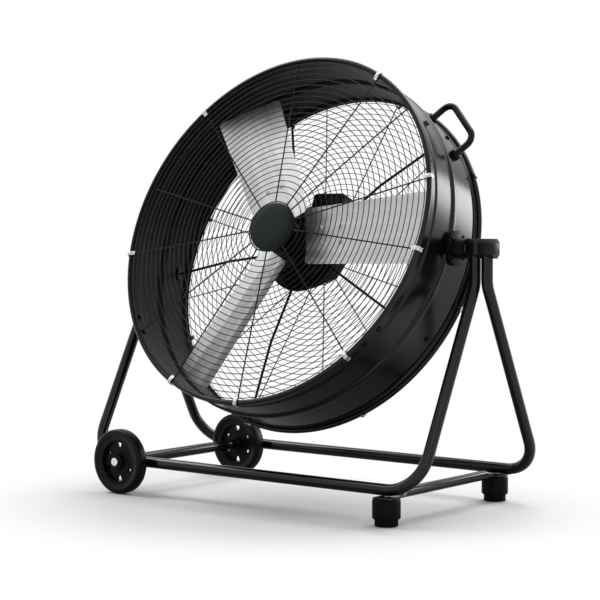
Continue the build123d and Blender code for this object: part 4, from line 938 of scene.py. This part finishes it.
def guard_net(context, station, drop, spokes, share):
    """One wire guard; drop says to which side of the rings its spokes lie, share how thick its wires are."""
    sizes = context.scene.fan_sizes
    base = points_mesh([(0, 0, 0)] * len(spokes), turns=[(0, 0, radians(a)) for a in spokes])
    mesh = grown(
        "fan_wire_net",
        base,
        outer_radius=RIM_RADIUS - GUARD_INSET,
        ring_pitch=sizes.ring_pitch,
        ring_count=sizes.ring_count,
        wire_radius=sizes.wire_radius * share,
        hub_radius=GUARD_HUB,
        spoke_radius=sizes.spoke_radius * share,
        spoke_drop=drop * SPOKE_DROP,
        hook_drop=drop * HOOK_DROP,
        material=finish("wire_enamel"),
    )
    mesh.transform(HEAD @ Matrix.Translation((0, 0, station)))
    smooth(mesh, 60)
    return mesh


def cap_mesh(face, inward, dome, hole):
    """Round cap: a slightly domed face, a soft edge and a skirt."""
    radius, wall, depth = 0.057, 0.002, 0.018
    section = [
        (hole, 0),
        (0.02, -dome * 0.1),
        (0.04, dome * 0.45),
        (radius - 0.004, dome),
        (radius - 0.0012, dome + 0.0012),
        (radius, dome + 0.004),
        (radius, depth),
        (radius - wall, depth),
        (radius - wall, wall + dome),
        (hole, wall),
    ]
    outline = [(reach, face + inward * back) for reach, back in section]
    return finished_mesh(turned(outline, 96), 45)


class FAN_OT_guards(bpy.types.Operator):
    """Makes both wire guards and the round caps in their middles"""

    bl_idname = "fan.guards"
    bl_label = "Guards"

    def execute(self, context):
        front = guard_net(context, FRONT_RINGS, -1, FRONT_SPOKES, 1.0)
        rear = guard_net(context, REAR_RINGS, 1, REAR_SPOKES, REAR_WIRE)
        for side, net in (("front", front), ("rear", rear)):
            show(f"{side}_guard_net", net, "wire_enamel", "drum", "guard_wire", f"{side}_guard")
        front = cap_mesh(FRONT_CAP, -1, 0.0014, 0.0)
        rear = cap_mesh(REAR_CAP, 1, 0.0006, 0.0055)
        for side, cap in (("front", front), ("rear", rear)):
            show(f"{side}_cap", cap, "guard_cap_paint", "drum", "guard_cap_paint", f"{side}_guard_cap")
        return {"FINISHED"}


# ---------------------------------------------------------------- the clips
CLIP_SHEET, CLIP_HALF_WIDTH = 0.0013, 0.0048


def clip_shape():
    """Sheet clip bent over the rolled rim; X runs outwards and Z off the rim's face."""
    line = [(-0.0190, -0.0012), (-0.0150, -0.0010), (-0.0125, 0.0012), (-0.0010, 0.0012), (0.0012, -0.0012)]
    line += [(0.0012, -0.0105), (0.0024, -0.0118)]
    line = rounded([(RIM_RADIUS + x, z) for x, z in line], 0.0018, 3, closed=False)
    outline = list(line)
    for i in range(len(line) - 1, -1, -1):
        before = Vector(line[max(0, i - 1)])
        after = Vector(line[min(len(line) - 1, i + 1)])
        run = (after - before).normalized() * CLIP_SHEET
        outline.append((line[i][0] - run.y, line[i][1] + run.x))
    shape = bmesh.new()
    upright = Matrix(((1, 0, 0, 0), (0, 0, -1, 0), (0, 1, 0, 0), (0, 0, 0, 1)))
    add_prism(shape, outline, -CLIP_HALF_WIDTH, CLIP_HALF_WIDTH, upright)
    outwards(shape)
    soften(shape, [e for e in shape.edges if e.calc_face_angle(0.0) > radians(60)], 0.0004, 1)
    return shape


def clip_places():
    """Places of the front and then the rear clips: X outwards, Z off the rim's face."""
    sides = ((FRONT_CLIPS, FORWARD, FRONT_REACH), (REAR_CLIPS, -FORWARD, REAR_REACH))
    return [facing(outward(a), z, HEAD.translation + z * reach) for angles, z, reach in sides for a in angles]


class FAN_OT_clips(bpy.types.Operator):
    """Makes the bright clips round both rims and their screws"""

    bl_idname = "fan.clips"
    bl_label = "Clips"

    def execute(self, context):
        places = clip_places()
        show_copies("rim_clips", clip_shape(), places, "clip_zinc", "drum", "clip_steel", "guard_clips")
        seat = Matrix.Translation((BEAD_RADIUS, 0, 0.0024))
        places = [place @ seat for place in places]
        screw = pan_screw(0.0038, 0.0023)
        show_copies("clip_screw_heads", screw, places, "screw_zinc", "drum", "screw_steel", "clip_screws")
        return {"FINISHED"}


# ---------------------------------------------------------------- the rotor
BLADE_STATION = 0.055
BLADE_PITCH = radians(18)
BLADE_ROOT, BLADE_TIP = 0.048, RIM_RADIUS - 0.026
ROOT_CHORD, TIP_CHORD = 0.124, 0.158
BLADE_SHEET = 0.0016
BLADE_CORNER = 0.010
BLADE_ROWS = 26
# How far a blade's tip is cut back, and how far behind its face the arm's back lies.
TIP_CUT, ARM_BACK = 0.0004, -0.0067
# Softness of the crease along a blade's middle, as a share of half its chord.
CREASE = 0.04


def blade_axes(angle):
    """Directions of one blade: outwards, along its chord and off its front face."""
    turn = radians(angle)
    out = Vector((cos(turn), sin(turn), 0))
    around = Vector((-sin(turn), cos(turn), 0))
    chord = around * cos(BLADE_PITCH) + Vector((0, 0, sin(BLADE_PITCH)))
    return out, chord, out.cross(chord)


def blade_place(angle, radius, across, off):
    """A point of a blade, in the fan's own axes."""
    out, chord, face = blade_axes(angle)
    return Vector((0, 0, BLADE_STATION)) + out * radius + chord * across + face * off


def blade_chord(radius):
    """Width of a blade's sheet at a radius."""
    return ROOT_CHORD + (TIP_CHORD - ROOT_CHORD) * (radius - BLADE_ROOT) / (BLADE_TIP - BLADE_ROOT)


def fold_height(share, fold):
    """Height of the folded sheet at a share of the half chord, with a soft crease."""
    over = (abs(share) - 0.5) * 2
    return fold * (over + sqrt(over * over + CREASE * CREASE)) / (1 + sqrt(1 + CREASE * CREASE))


def blade_ends(share):
    """Radii where a blade's sheet starts and ends at a share of the half chord: round corners, round tip."""
    gap = (1 - abs(share)) * ROOT_CHORD / 2
    cut = 0.0
    if gap < BLADE_CORNER:
        cut = BLADE_CORNER - sqrt(BLADE_CORNER**2 - (BLADE_CORNER - gap) ** 2)
    top = BLADE_TIP
    for _ in range(3):
        top = sqrt(BLADE_TIP**2 - (share * blade_chord(top) / 2 * cos(BLADE_PITCH)) ** 2)
    return BLADE_ROOT + cut, top - cut - TIP_CUT


def blade_mesh(angle, fold):
    """One folded blade with rounded corners, its sheet laid out in a UV map in metres."""
    shape = bmesh.new()
    layer = shape.loops.layers.uv.new("sheet")
    shares = [-1, -0.985, -0.96, -0.92] + [-0.84 + 0.08 * i for i in range(22)] + [0.92, 0.96, 0.985, 1]
    rows, last = BLADE_ROWS, len(shares) - 1
    places, uvs = {}, {}
    for side, drop in (("front", 0.0), ("back", -BLADE_SHEET)):
        for i, share in enumerate(shares):
            low, top = blade_ends(share)
            for k in range(rows + 1):
                radius = low + (top - low) * k / rows
                across = share * blade_chord(radius) / 2
                point = blade_place(angle, radius, across, fold_height(share, fold) + drop)
                places[side, i, k] = shape.verts.new(HEAD @ point)
                uvs[places[side, i, k]] = (across, radius)
    for i in range(last):
        for k in range(rows):
            corners = [(i, k), (i + 1, k), (i + 1, k + 1), (i, k + 1)]
            shape.faces.new([places["front", a, b] for a, b in corners])
            shape.faces.new([places["back", a, b] for a, b in reversed(corners)])
    border = [(i, 0) for i in range(last)] + [(last, k) for k in range(rows)]
    border += [(i, rows) for i in range(last, 0, -1)] + [(0, k) for k in range(rows, 0, -1)]
    for one, two in zip(border, border[1:] + border[:1]):
        corners = [places["front", *two], places["front", *one], places["back", *one], places["back", *two]]
        shape.faces.new(corners)
    for face in shape.faces:
        for loop in face.loops:
            loop[layer].uv = uvs[loop.vert]
    return finished_mesh(shape, 40, merge=False)


def rivet_places():
    """Seats of the rivet heads on the front of the blades and behind the arms."""
    places = []
    for angle in BLADE_ANGLES:
        face = HEAD.to_3x3() @ blade_axes(angle)[2]
        for radius in RIVET_RADII:
            for across in RIVET_ACROSS:
                places.append(along(face, HEAD @ blade_place(angle, radius, across, CLEAR)))
                places.append(along(-face, HEAD @ blade_place(angle, radius, across, ARM_BACK)))
    return places


class FAN_OT_rotor(bpy.types.Operator):
    """Makes the three folded blades, their rivets, the hub and its nut"""

    bl_idname = "fan.rotor"
    bl_label = "Rotor"

    def execute(self, context):
        fold = context.scene.fan_sizes.blade_fold
        for index, angle in enumerate(BLADE_ANGLES, start=1):
            mesh = blade_mesh(angle, fold)
            show(f"folded_blade_{index}", mesh, "blade_sheet", "rotor", "blade_aluminium", f"blade_{index}")
        rivets = rivet(0.0055, 0.0021)
        name = "rivet_aluminium"
        show_copies("rivet_heads", rivets, rivet_places(), name, "rotor", name, "blade_rivets")
        show_softened("hub_with_arms", "fan_hub", 0.0008, "hub_enamel", "rotor", "hub_metal")
        show_softened("shaft_nut", "hub_nut", 0.0008, "bright_cap", "rotor", "cap_bright")
        keep("axle_steel", "motor_shaft")
        keep("core_steel", "rotor_core")
        return {"FINISHED"}


# ---------------------------------------------------------------- the motor
# The fins stand round the housing but leave out the angles under the box.
FIN_RADIUS, FIN_STATION, FIN_GAP = 0.0890, -0.0295, (40, 120)
# Thickness of the cradle's rods, seat of their pads, and the bolts on the motor: radius and station.
ROD_RADIUS, PAD_SEAT, CRADLE_BOLTS = 0.0030, WALL - 0.0057, (0.0965, -0.008)
# Each rod of the cradle: radius, station and bend.
CRADLE_LINE = ((0.0903, -0.019, 0.0), (0.230, -0.019, 0.035), (WALL - 0.00375, CRADLE_STATION, 0.0))


def fin_shape():
    """One low cooling fin; X runs outwards and Z along the fan's axis."""
    shape = bmesh.new()
    add_prism(shape, rectangle(0.0040, 0.0014), -0.0075, 0.0075, Matrix(), 0.0004, 1)
    return outwards(shape)


def fin_places(count):
    """Places of the fins: X outwards and Z along the fan's axis."""
    angles = [360 * i / count for i in range(count)]
    low, high = FIN_GAP
    kept = [a for a in angles if not low < a < high]
    return [facing(outward(a), FORWARD, polar(a, FIN_RADIUS, FIN_STATION)) for a in kept]


def rod_route(angle):
    """Centre line of one rod of the cradle."""
    return [(polar(angle, radius, station), bend) for radius, station, bend in CRADLE_LINE]


def cradle_mesh(material):
    """Five bent rods from a ring on the motor to pads on the drum's wall."""
    shape = bmesh.new()
    shape.from_mesh(bars([rod_route(a) for a in CRADLE_ANGLES], ROD_RADIUS, material, 14, 8))
    add_turned(shape, rounded(band(0.0883, 0.104, -0.016, -0.012), 0.0006, 2), 96)
    for angle in CRADLE_ANGLES:
        place = along(outward(angle), polar(angle, PAD_SEAT, CRADLE_STATION), across=FORWARD)
        add_prism(shape, rectangle(0.030, 0.020, 0.004), 0.0, 0.0033, place, 0.0005)
    return finished_mesh(shape)


class FAN_OT_motor(bpy.types.Operator):
    """Makes the motor with its fins, the rods that carry it and their bolts"""

    bl_idname = "fan.motor"
    bl_label = "Motor"

    def execute(self, context):
        for node in ("motor_front_bell", "motor_rear_bell", "motor_housing"):
            show_softened(node + "_casting", node, 0.0010, "motor_enamel", "drum", "motor_paint")
        places = fin_places(context.scene.fan_sizes.fin_count)
        show_copies("motor_fins", fin_shape(), places, "motor_enamel", "drum", "motor_paint")
        mesh = cradle_mesh(finish("motor_enamel"))
        show("cradle_rods", mesh, "motor_enamel", "drum", "cradle_paint", "motor_cradle")
        places = [along(FORWARD, polar(a, *CRADLE_BOLTS)) for a in CRADLE_BOLT_ANGLES]
        places += [along(outward(a), polar(a, WALL + CLEAR, CRADLE_STATION)) for a in CRADLE_ANGLES]
        bolt = hex_bolt(0.0052, 0.0035, 0.0064)
        show_copies("cradle_bolt_heads", bolt, places, "hub_enamel", "drum", "screw_steel", "cradle_bolts")
        keep("core_steel", "stator_core")
        keep("bearing_steel", "motor_bearings")
        return {"FINISHED"}


# Seat of the box's lid: across, up and along the fan's axis, and the screws' spread in two directions.
LID_SEAT = Vector((0.020, 0.1414, -0.044))
LID_SPREAD = (0.034, 0.015)


class FAN_OT_junction_box(bpy.types.Operator):
    """Makes the box on the motor with its lid, gland and lead"""

    bl_idname = "fan.junction_box"
    bl_label = "Junction Box"

    def execute(self, context):
        show_softened("box_shell", "junction_box", 0.0009, "box_plastic", "drum", "box_plastic")
        lid = "junction_box_lid"
        show_softened("box_cover", lid, 0.0012, "box_plastic", "drum", "box_plastic", segments=3)
        wide, deep = LID_SPREAD
        corners = [LID_SEAT + Vector((x, 0, z)) for x in (-wide, wide) for z in (-deep, deep)]
        places = [along(UP, HEAD @ corner) for corner in corners]
        screw = pan_screw(0.0028, 0.0016)
        show_copies("box_cover_screws", screw, places, "screw_zinc", "drum", "screw_steel")
        show_softened("gland", "cable_gland", 0.0006, "box_plastic", "drum", "gland_plastic")
        keep("lead_rubber", "motor_lead")
        keep("can_plastic", "run_capacitor")
        return {"FINISHED"}


def dial_line(shape, angle, radius, depth, size, thick):
    """Adds a pale raised line that points away from the knob's middle, behind the rear cap."""
    turn = Matrix.Rotation(radians(angle), 4, "Z")
    place = HEAD @ turn @ Matrix.Translation((radius, 0, -REAR_REACH - depth))
    add_prism(shape, rectangle(*size, 0.0004, 2), 0.0, thick, place)


class FAN_OT_speed_dial(bpy.types.Operator):
    """Makes the speed knob and gives the switch behind it its finish"""

    bl_idname = "fan.speed_dial"
    bl_label = "Speed Dial"

    def execute(self, context):
        show_softened("dial", "speed_knob", 0.0006, "knob_plastic", "speed_dial", "knob_plastic")
        marks, pointer = bmesh.new(), bmesh.new()
        for angle in (270, 240, 210, 180):
            dial_line(marks, angle, 0.0235, 0.0014, (0.0055, 0.0012), 0.0004)
        show("dial_marks", finished_mesh(marks), "can_plastic", "drum", "guard_cap_paint")
        dial_line(pointer, 270, 0.0090, 0.0188, (0.0115, 0.0014), 0.0005)
        show("dial_pointer", finished_mesh(pointer), "can_plastic", "speed_dial", "knob_plastic")
        keep("block_gloss", "speed_switch")
        return {"FINISHED"}


# ------------------------------------------------------- handle and tilt axis
class FAN_OT_handle(bpy.types.Operator):
    """Makes the bent carry handle on its two feet"""

    bl_idname = "fan.handle"
    bl_label = "Handle"

    def execute(self, context):
        show_softened("handle_bar", "carry_handle", 0.0009, "handle_enamel", "drum", "handle_paint", angle=40)
        keep("screw_zinc", "handle_screws")
        return {"FINISHED"}


# Where the screws of the bosses sit: radius about the tilt axis, and distance from the middle.
BOSS_SCREWS, BOSS_FACE = 0.030, RIM_RADIUS + 0.0041


class FAN_OT_tilt_axis(bpy.types.Operator):
    """Makes the bosses on the drum and the blocks on the legs that they turn in"""

    bl_idname = "fan.tilt_axis"
    bl_label = "Tilt Axis"

    def execute(self, context):
        for side in ("left", "right"):
            node = f"{side}_pivot_bracket"
            show_softened(f"{side}_boss", node, 0.0012, "bracket_enamel", "drum", "bracket_paint")
            for layer, look in (("inner", "block_gloss"), ("outer", "block_grey")):
                node = f"{side}_{layer}_pivot_block"
                show_softened(f"{side}_{layer}_block", node, 0.0016, look, "stand", look, segments=3)
        places = []
        for sign in (-1, 1):
            for turn in (45, 135, 225, 315):
                y = AXIS_Y + BOSS_SCREWS * cos(radians(turn))
                z = PIVOT_HEIGHT + BOSS_SCREWS * sin(radians(turn))
                places.append(along((sign, 0, 0), (sign * BOSS_FACE, y, z)))
        screw = pan_screw(0.0054, 0.0029)
        show_copies("boss_screw_heads", screw, places, "hub_enamel", "drum", "screw_steel", "bracket_screws")
        keep("screw_zinc", "pivot_bolts")
        keep("washer_fibre", "friction_washers")
        show_softened("block_plugs", "pivot_caps", 0.0007, "block_grey", "stand", "block_grey")
        return {"FINISHED"}


# ---------------------------------------------------------------- the stand
SIDES = (("front", -1), ("rear", 1))
# How far the legs of each bent tube stand from the middle.
LEG_X = {"front": 0.468, "rear": 0.498}
KNEE_HEIGHT, LEG_TOP = 0.497, 0.589
KNEE_BEND, RAIL_BEND = 0.060, 0.080
AXLE_BORE = 0.0062


def stand_route(leg_x, side):
    """Centre line of one bent tube of the stand."""
    rail = AXIS_Y + side * RAIL_SPREAD
    half = [(AXIS_Y, LEG_TOP, 0.0), (AXIS_Y, KNEE_HEIGHT, KNEE_BEND), (rail, RAIL_HEIGHT, RAIL_BEND)]
    left = [((-leg_x, y, z), bend) for y, z, bend in half]
    return left + [((leg_x, y, z), bend) for y, z, bend in reversed(half)]


def axle_place(y, side=1):
    """A place on the wheels' axle whose Z runs along it."""
    return along((0, side, 0), (WHEEL_X, y, RAIL_HEIGHT))


class FAN_OT_stand(bpy.types.Operator):
    """Makes the two bent tubes and the bars between them"""

    bl_idname = "fan.stand"
    bl_label = "Stand"

    def execute(self, context):
        radius = context.scene.fan_sizes.tube_radius
        for name, side in SIDES:
            mesh = bars([stand_route(LEG_X[name], side)], radius, finish("frame_enamel"), 40, 20)
            smooth(mesh)
            show(f"{name}_tube", mesh, "frame_enamel", "stand", "frame_paint", f"{name}_frame_tube")
        show_softened("foot_bar", "foot_cross_bar", 0.0010, "frame_enamel", "stand", "frame_paint", angle=40)
        low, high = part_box("axle_cross_tube")
        outline = rounded(band(AXLE_BORE, radius, 0, high.y - low.y), 0.0008, 3)
        tube = finished_mesh(turned(outline, 48, axle_place(low.y)))
        show("axle_tube", tube, "frame_enamel", "stand", "frame_paint", "axle_cross_tube")
        return {"FINISHED"}


# ----------------------------------------------------------------- the feet
# Sections of a foot and of the pad under it: radius and height.
FOOT_LINE = [(0.0041, 0.0155), (0.0285, 0.0152), (0.030, 0.0175), (0.030, 0.0542), (0.0270, 0.0582)]
FOOT_LINE += [(0.0041, 0.0582)]
PAD_LINE = [(0.0, 0.0), (0.0235, 0.0), (0.0250, 0.0015), (0.0250, 0.0056), (0.0240, 0.0062)]
PAD_LINE += [(0.0240, 0.0074), (0.0250, 0.0080), (0.0250, 0.0148), (0.0, 0.0148)]


class FAN_OT_feet(bpy.types.Operator):
    """Makes the two feet and their rubber pads"""

    bl_idname = "fan.feet"
    bl_label = "Feet"

    def execute(self, context):
        pads = bmesh.new()
        for name, side in SIDES:
            place = Matrix.Translation((FOOT_X, AXIS_Y + side * RAIL_SPREAD, 0))
            foot = finished_mesh(turned(rounded(FOOT_LINE, 0.0012, 4), 64, place))
            show(f"{name}_foot_body", foot, "foot_plastic", "stand", "foot_plastic", f"{name}_foot")
            add_turned(pads, PAD_LINE, 56, place)
        show("pads", finished_mesh(pads), "pad_rubber", "stand", "pad_rubber", "foot_pads")
        keep("screw_zinc", "foot_screws")
        return {"FINISHED"}


# --------------------------------------------------------------- the wheels
# Section of a tyre from its bead to its tread: radius and distance from its face.
TYRE_SIDE = [(0.0515, 0.0026), (0.0590, 0.0022), (0.0610, 0.0012), (0.0625, 0.0002), (0.0690, 0.0002)]
TYRE_SIDE += [(0.0722, 0.0012), (0.0742, 0.0034), (0.0749, 0.0070), (0.0750, 0.0110)]
# Section of the rim's web about its middle, the web's arms and half the angle of one.
WEB_LINE = ((0.0160, -0.0036), (0.0330, -0.0036), (0.0336, 0), (0.0330, 0.0036), (0.0160, 0.0036))
WEB_ARMS, WEB_ARM_HALF = 6, radians(19)
# Section of an axle cap, and how far it stands out from the axle's end.
AXLE_CAP = [(0.0, 0.0002), (0.0098, 0.0002), (0.0100, 0.0040), (0.0094, 0.0052), (0.0080, 0.0056)]
AXLE_CAP += [(0.0022, 0.0057), (0.0016, 0.0048), (0.0, 0.0046)]
AXLE_CAP_RISE = 0.006


def tyre_mesh(width, place):
    """A tyre of the given width, the same on both sides."""
    far = [(radius, width - y) for radius, y in reversed(TYRE_SIDE)]
    return finished_mesh(turned([*TYRE_SIDE, (0.0750, width / 2), *far], 128, place), 50)


def web_arm_outline():
    """One broad arm of the rim's web, from its solid middle to its lip."""
    turns = [(0.0320, WEB_ARM_HALF * k) for k in (1.25, 0, -1.25)]
    turns += [(0.0470, WEB_ARM_HALF * k / 3) for k in range(-3, 4)]
    return [spot(radius, turn) for radius, turn in turns]


def rim_mesh(width, place):
    """A rim of the given width: its lip, its hub with two flanges, and its web with broad arms."""
    middle, end = width / 2, width - 0.0030
    shape = turned(rounded(band(0.0462, 0.0514, 0.0030, end), 0.0008, 3), 96, place)
    hub = [(0.00906, CLEAR), (0.0165, CLEAR), (0.0175, 0.0030), (0.0175, end)]
    hub += [(0.0165, width - CLEAR), (0.00906, width - CLEAR)]
    add_turned(shape, rounded(hub, 0.0006, 2), 64, place)
    for face in (middle - 0.0055, middle + 0.0015):
        flange = [(0.0170, face), (0.0250, face + 0.001), (0.0250, face + 0.003), (0.0170, face + 0.004)]
        add_turned(shape, flange, 64, place)
    add_turned(shape, [(radius, middle + rise) for radius, rise in WEB_LINE], 96, place)
    for index in range(WEB_ARMS):
        turn = Matrix.Translation((0, 0, middle)) @ Matrix.Rotation(tau * index / WEB_ARMS, 4, "Z")
        add_prism(shape, web_arm_outline(), -0.0034, 0.0034, place @ turn, 0.0008)
    return finished_mesh(shape)


class FAN_OT_wheels(bpy.types.Operator):
    """Makes both wheels, the axle's caps and its washers"""

    bl_idname = "fan.wheels"
    bl_label = "Wheels"

    def execute(self, context):
        for name in ("front", "rear"):
            low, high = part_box(f"{name}_tyre")
            width, place, body = high.y - low.y, axle_place(low.y), f"{name}_wheel"
            tyre, rim = tyre_mesh(width, place), rim_mesh(width, place)
            show(f"{name}_wheel_tyre", tyre, "tyre_rubber", body, "tyre_rubber", f"{name}_tyre")
            show(f"{name}_spoked_rim", rim, "rim_plastic", body, "rim_plastic", f"{name}_wheel_rim")
            keep("bush_plastic", f"{name}_wheel_bush")
        caps = bmesh.new()
        low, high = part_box("axle_end_caps")
        for y, side in ((low.y, -1), (high.y, 1)):
            add_turned(caps, AXLE_CAP, 48, axle_place(y - side * AXLE_CAP_RISE, side))
        show("axle_caps", finished_mesh(caps), "bright_cap", "stand", "cap_bright", "axle_end_caps")
        keep("axle_steel", "wheel_axle", "axle_washers")
        return {"FINISHED"}


# ---------------------------------------------------------------- the stage
WHITE = (1.0, 1.0, 1.0, 1.0)
# Half the floor's side, how far it lies below the feet, and the two radii between which it turns white.
FLOOR_REACH, FLOOR_DROP, FLOOR_FADE = 12.0, 0.0005, (0.42, 0.80)
# How dark the floor is to rays off metal: painted shade on the floor's reflection in the fan.
FLOOR_REFLECTION_SHADE = 0.35
# How bright the world is where it only lights the fan.
WORLD_LEVEL = 0.34
LAMP_AIM = (0, 0, 0.55)
# Name, place, width, height and share of the main lamp's power.
LAMPS = (
    ("key", (-2.6, -0.4, 3.4), 2.0, 2.0, 1.0),
    ("top", (0.3, 1.3, 3.0), 2.4, 2.4, 0.85),
    ("side_panel", (1.2, 2.72, 1.1), 0.9, 0.9, 0.26),
    ("front_strip", (2.6, -2.9, 2.2), 0.4, 1.6, 0.08),
)


def seen_rays(tree):
    """The kinds of ray, and 1 for those that see the background: camera, glossy and transmission rays."""
    ray = tree.add("ShaderNodeLightPath", out="Is Camera Ray")
    return ray, (ray + ray.part("Is Glossy Ray") + ray.part("Is Transmission Ray")).clamped()


def floor_material(tone):
    """Pale floor that keeps shadows near the fan, is painted darker in reflections, and turns to the white
    background further out.
    """
    paint = Paint("stage_floor", tone, 0.6, specular=0.1)
    paint.set("Roughness", paint.noise(900.0, 2.0) * 0.05 + 0.6)
    ray, seen = seen_rays(paint)
    # Painted shade: the floor's colour is darker where glossy rays see it, so its reflection in the fan is
    # dimmer.
    paint.tint(ray.part("Is Glossy Ray"), FLOOR_REFLECTION_SHADE)
    distance = paint.add("ShaderNodeVectorMath", {0: paint.place}, "Value", operation="LENGTH")
    mask = distance.between(*FLOOR_FADE) * seen
    glow = paint.add("ShaderNodeEmission", {"Color": WHITE, "Strength": 1.0})
    surface = Value(paint.tree, paint.tree.nodes["Principled BSDF"].outputs[0])
    mixed = paint.add("ShaderNodeMixShader", {0: mask, 1: surface, 2: glow})
    feed(paint.tree, paint.tree.nodes["Material Output"].inputs["Surface"], mixed)
    return paint.material


def light_world(scene):
    """White where it is seen, also in metal and through glass, and dimmer where it only lights the fan."""
    world = bpy.data.worlds.new("stage_world")
    world.use_nodes = True
    scene.world = world
    seen = seen_rays(Tree(world.node_tree))[1]
    background = world.node_tree.nodes["Background"].inputs
    feed(world.node_tree, background["Strength"], seen + (1 - seen) * WORLD_LEVEL)
    background["Color"].default_value = WHITE


def add_object(name, data, place):
    """Puts new data into the scene as an object at a place."""
    holder = bpy.data.objects.new(name, data)
    holder.location = place
    bpy.context.scene.collection.objects.link(holder)
    return holder


def add_lamp(name, place, width, height, power):
    """A soft area lamp that points at the fan."""
    lamp = bpy.data.lights.new(name, "AREA")
    lamp.shape = "RECTANGLE"
    lamp.size, lamp.size_y = width, height
    lamp.energy = power
    aim = Vector(LAMP_AIM) - Vector(place)
    add_object(name, lamp, place).rotation_euler = aim.to_track_quat("-Z", "Y").to_euler()


class FAN_OT_stage(bpy.types.Operator):
    """Makes the floor, the lamps, the background and the camera"""

    bl_idname = "fan.stage"
    bl_label = "Stage"

    def execute(self, context):
        scene = context.scene
        settings = scene.fan_stage
        mesh = bpy.data.meshes.new("floor")
        corners = [(x, y, 0) for x, y in rectangle(2 * FLOOR_REACH, 2 * FLOOR_REACH)]
        mesh.from_pydata(corners, [], [(0, 1, 2, 3)])
        mesh.materials.append(floor_material(settings.floor))
        floor = add_object("floor", mesh, (0, 0, -FLOOR_DROP))

        light_world(scene)
        for name, place, width, height, share in LAMPS:
            add_lamp(name, place, width, height, settings.key_power * share)

        camera = bpy.data.cameras.new("camera")
        camera.lens = settings.lens
        camera.clip_start, camera.clip_end = 0.05, 60.0
        scene.camera = add_object("camera", camera, settings.camera_place)
        scene.camera.rotation_euler = (pi / 2 - settings.dip, 0, settings.heading)
        scene.view_settings.view_transform = "Standard"
        return {"FINISHED"}


# ------------------------------------------------------------------- sidebar
OPERATORS = (
    FAN_OT_drum,
    FAN_OT_guards,
    FAN_OT_clips,
    FAN_OT_rotor,
    FAN_OT_motor,
    FAN_OT_junction_box,
    FAN_OT_speed_dial,
    FAN_OT_handle,
    FAN_OT_tilt_axis,
    FAN_OT_stand,
    FAN_OT_feet,
    FAN_OT_wheels,
    FAN_OT_stage,
)


GROUPS = {"fan_sizes": FanSizes, "fan_colours": FanColours, "fan_stage": FanStage}


class FAN_PT_sidebar(bpy.types.Panel):
    """Lists the fan's settings and the pieces it is built from"""

    bl_label = "Drum Fan"
    bl_idname = "FAN_PT_sidebar"
    bl_space_type = "VIEW_3D"
    bl_region_type = "UI"
    bl_category = "Drum Fan"

    def draw(self, context):
        for group in GROUPS:
            box = self.layout.box()
            settings = getattr(context.scene, group)
            for name in settings.__annotations__:
                box.prop(settings, name)
        for operator in OPERATORS:
            self.layout.operator(operator.bl_idname)


CLASSES = (*GROUPS.values(), *OPERATORS, FAN_PT_sidebar)


def register():
    for item in CLASSES:
        bpy.utils.register_class(item)
    for name, group in GROUPS.items():
        setattr(bpy.types.Scene, name, PointerProperty(type=group))


def unregister():
    for name in GROUPS:
        delattr(bpy.types.Scene, name)
    for item in reversed(CLASSES):
        bpy.utils.unregister_class(item)


def main():
    register()
    for operator in OPERATORS:
        getattr(bpy.ops.fan, operator.bl_idname.split(".")[1])()


if __name__ == "__main__":
    main()
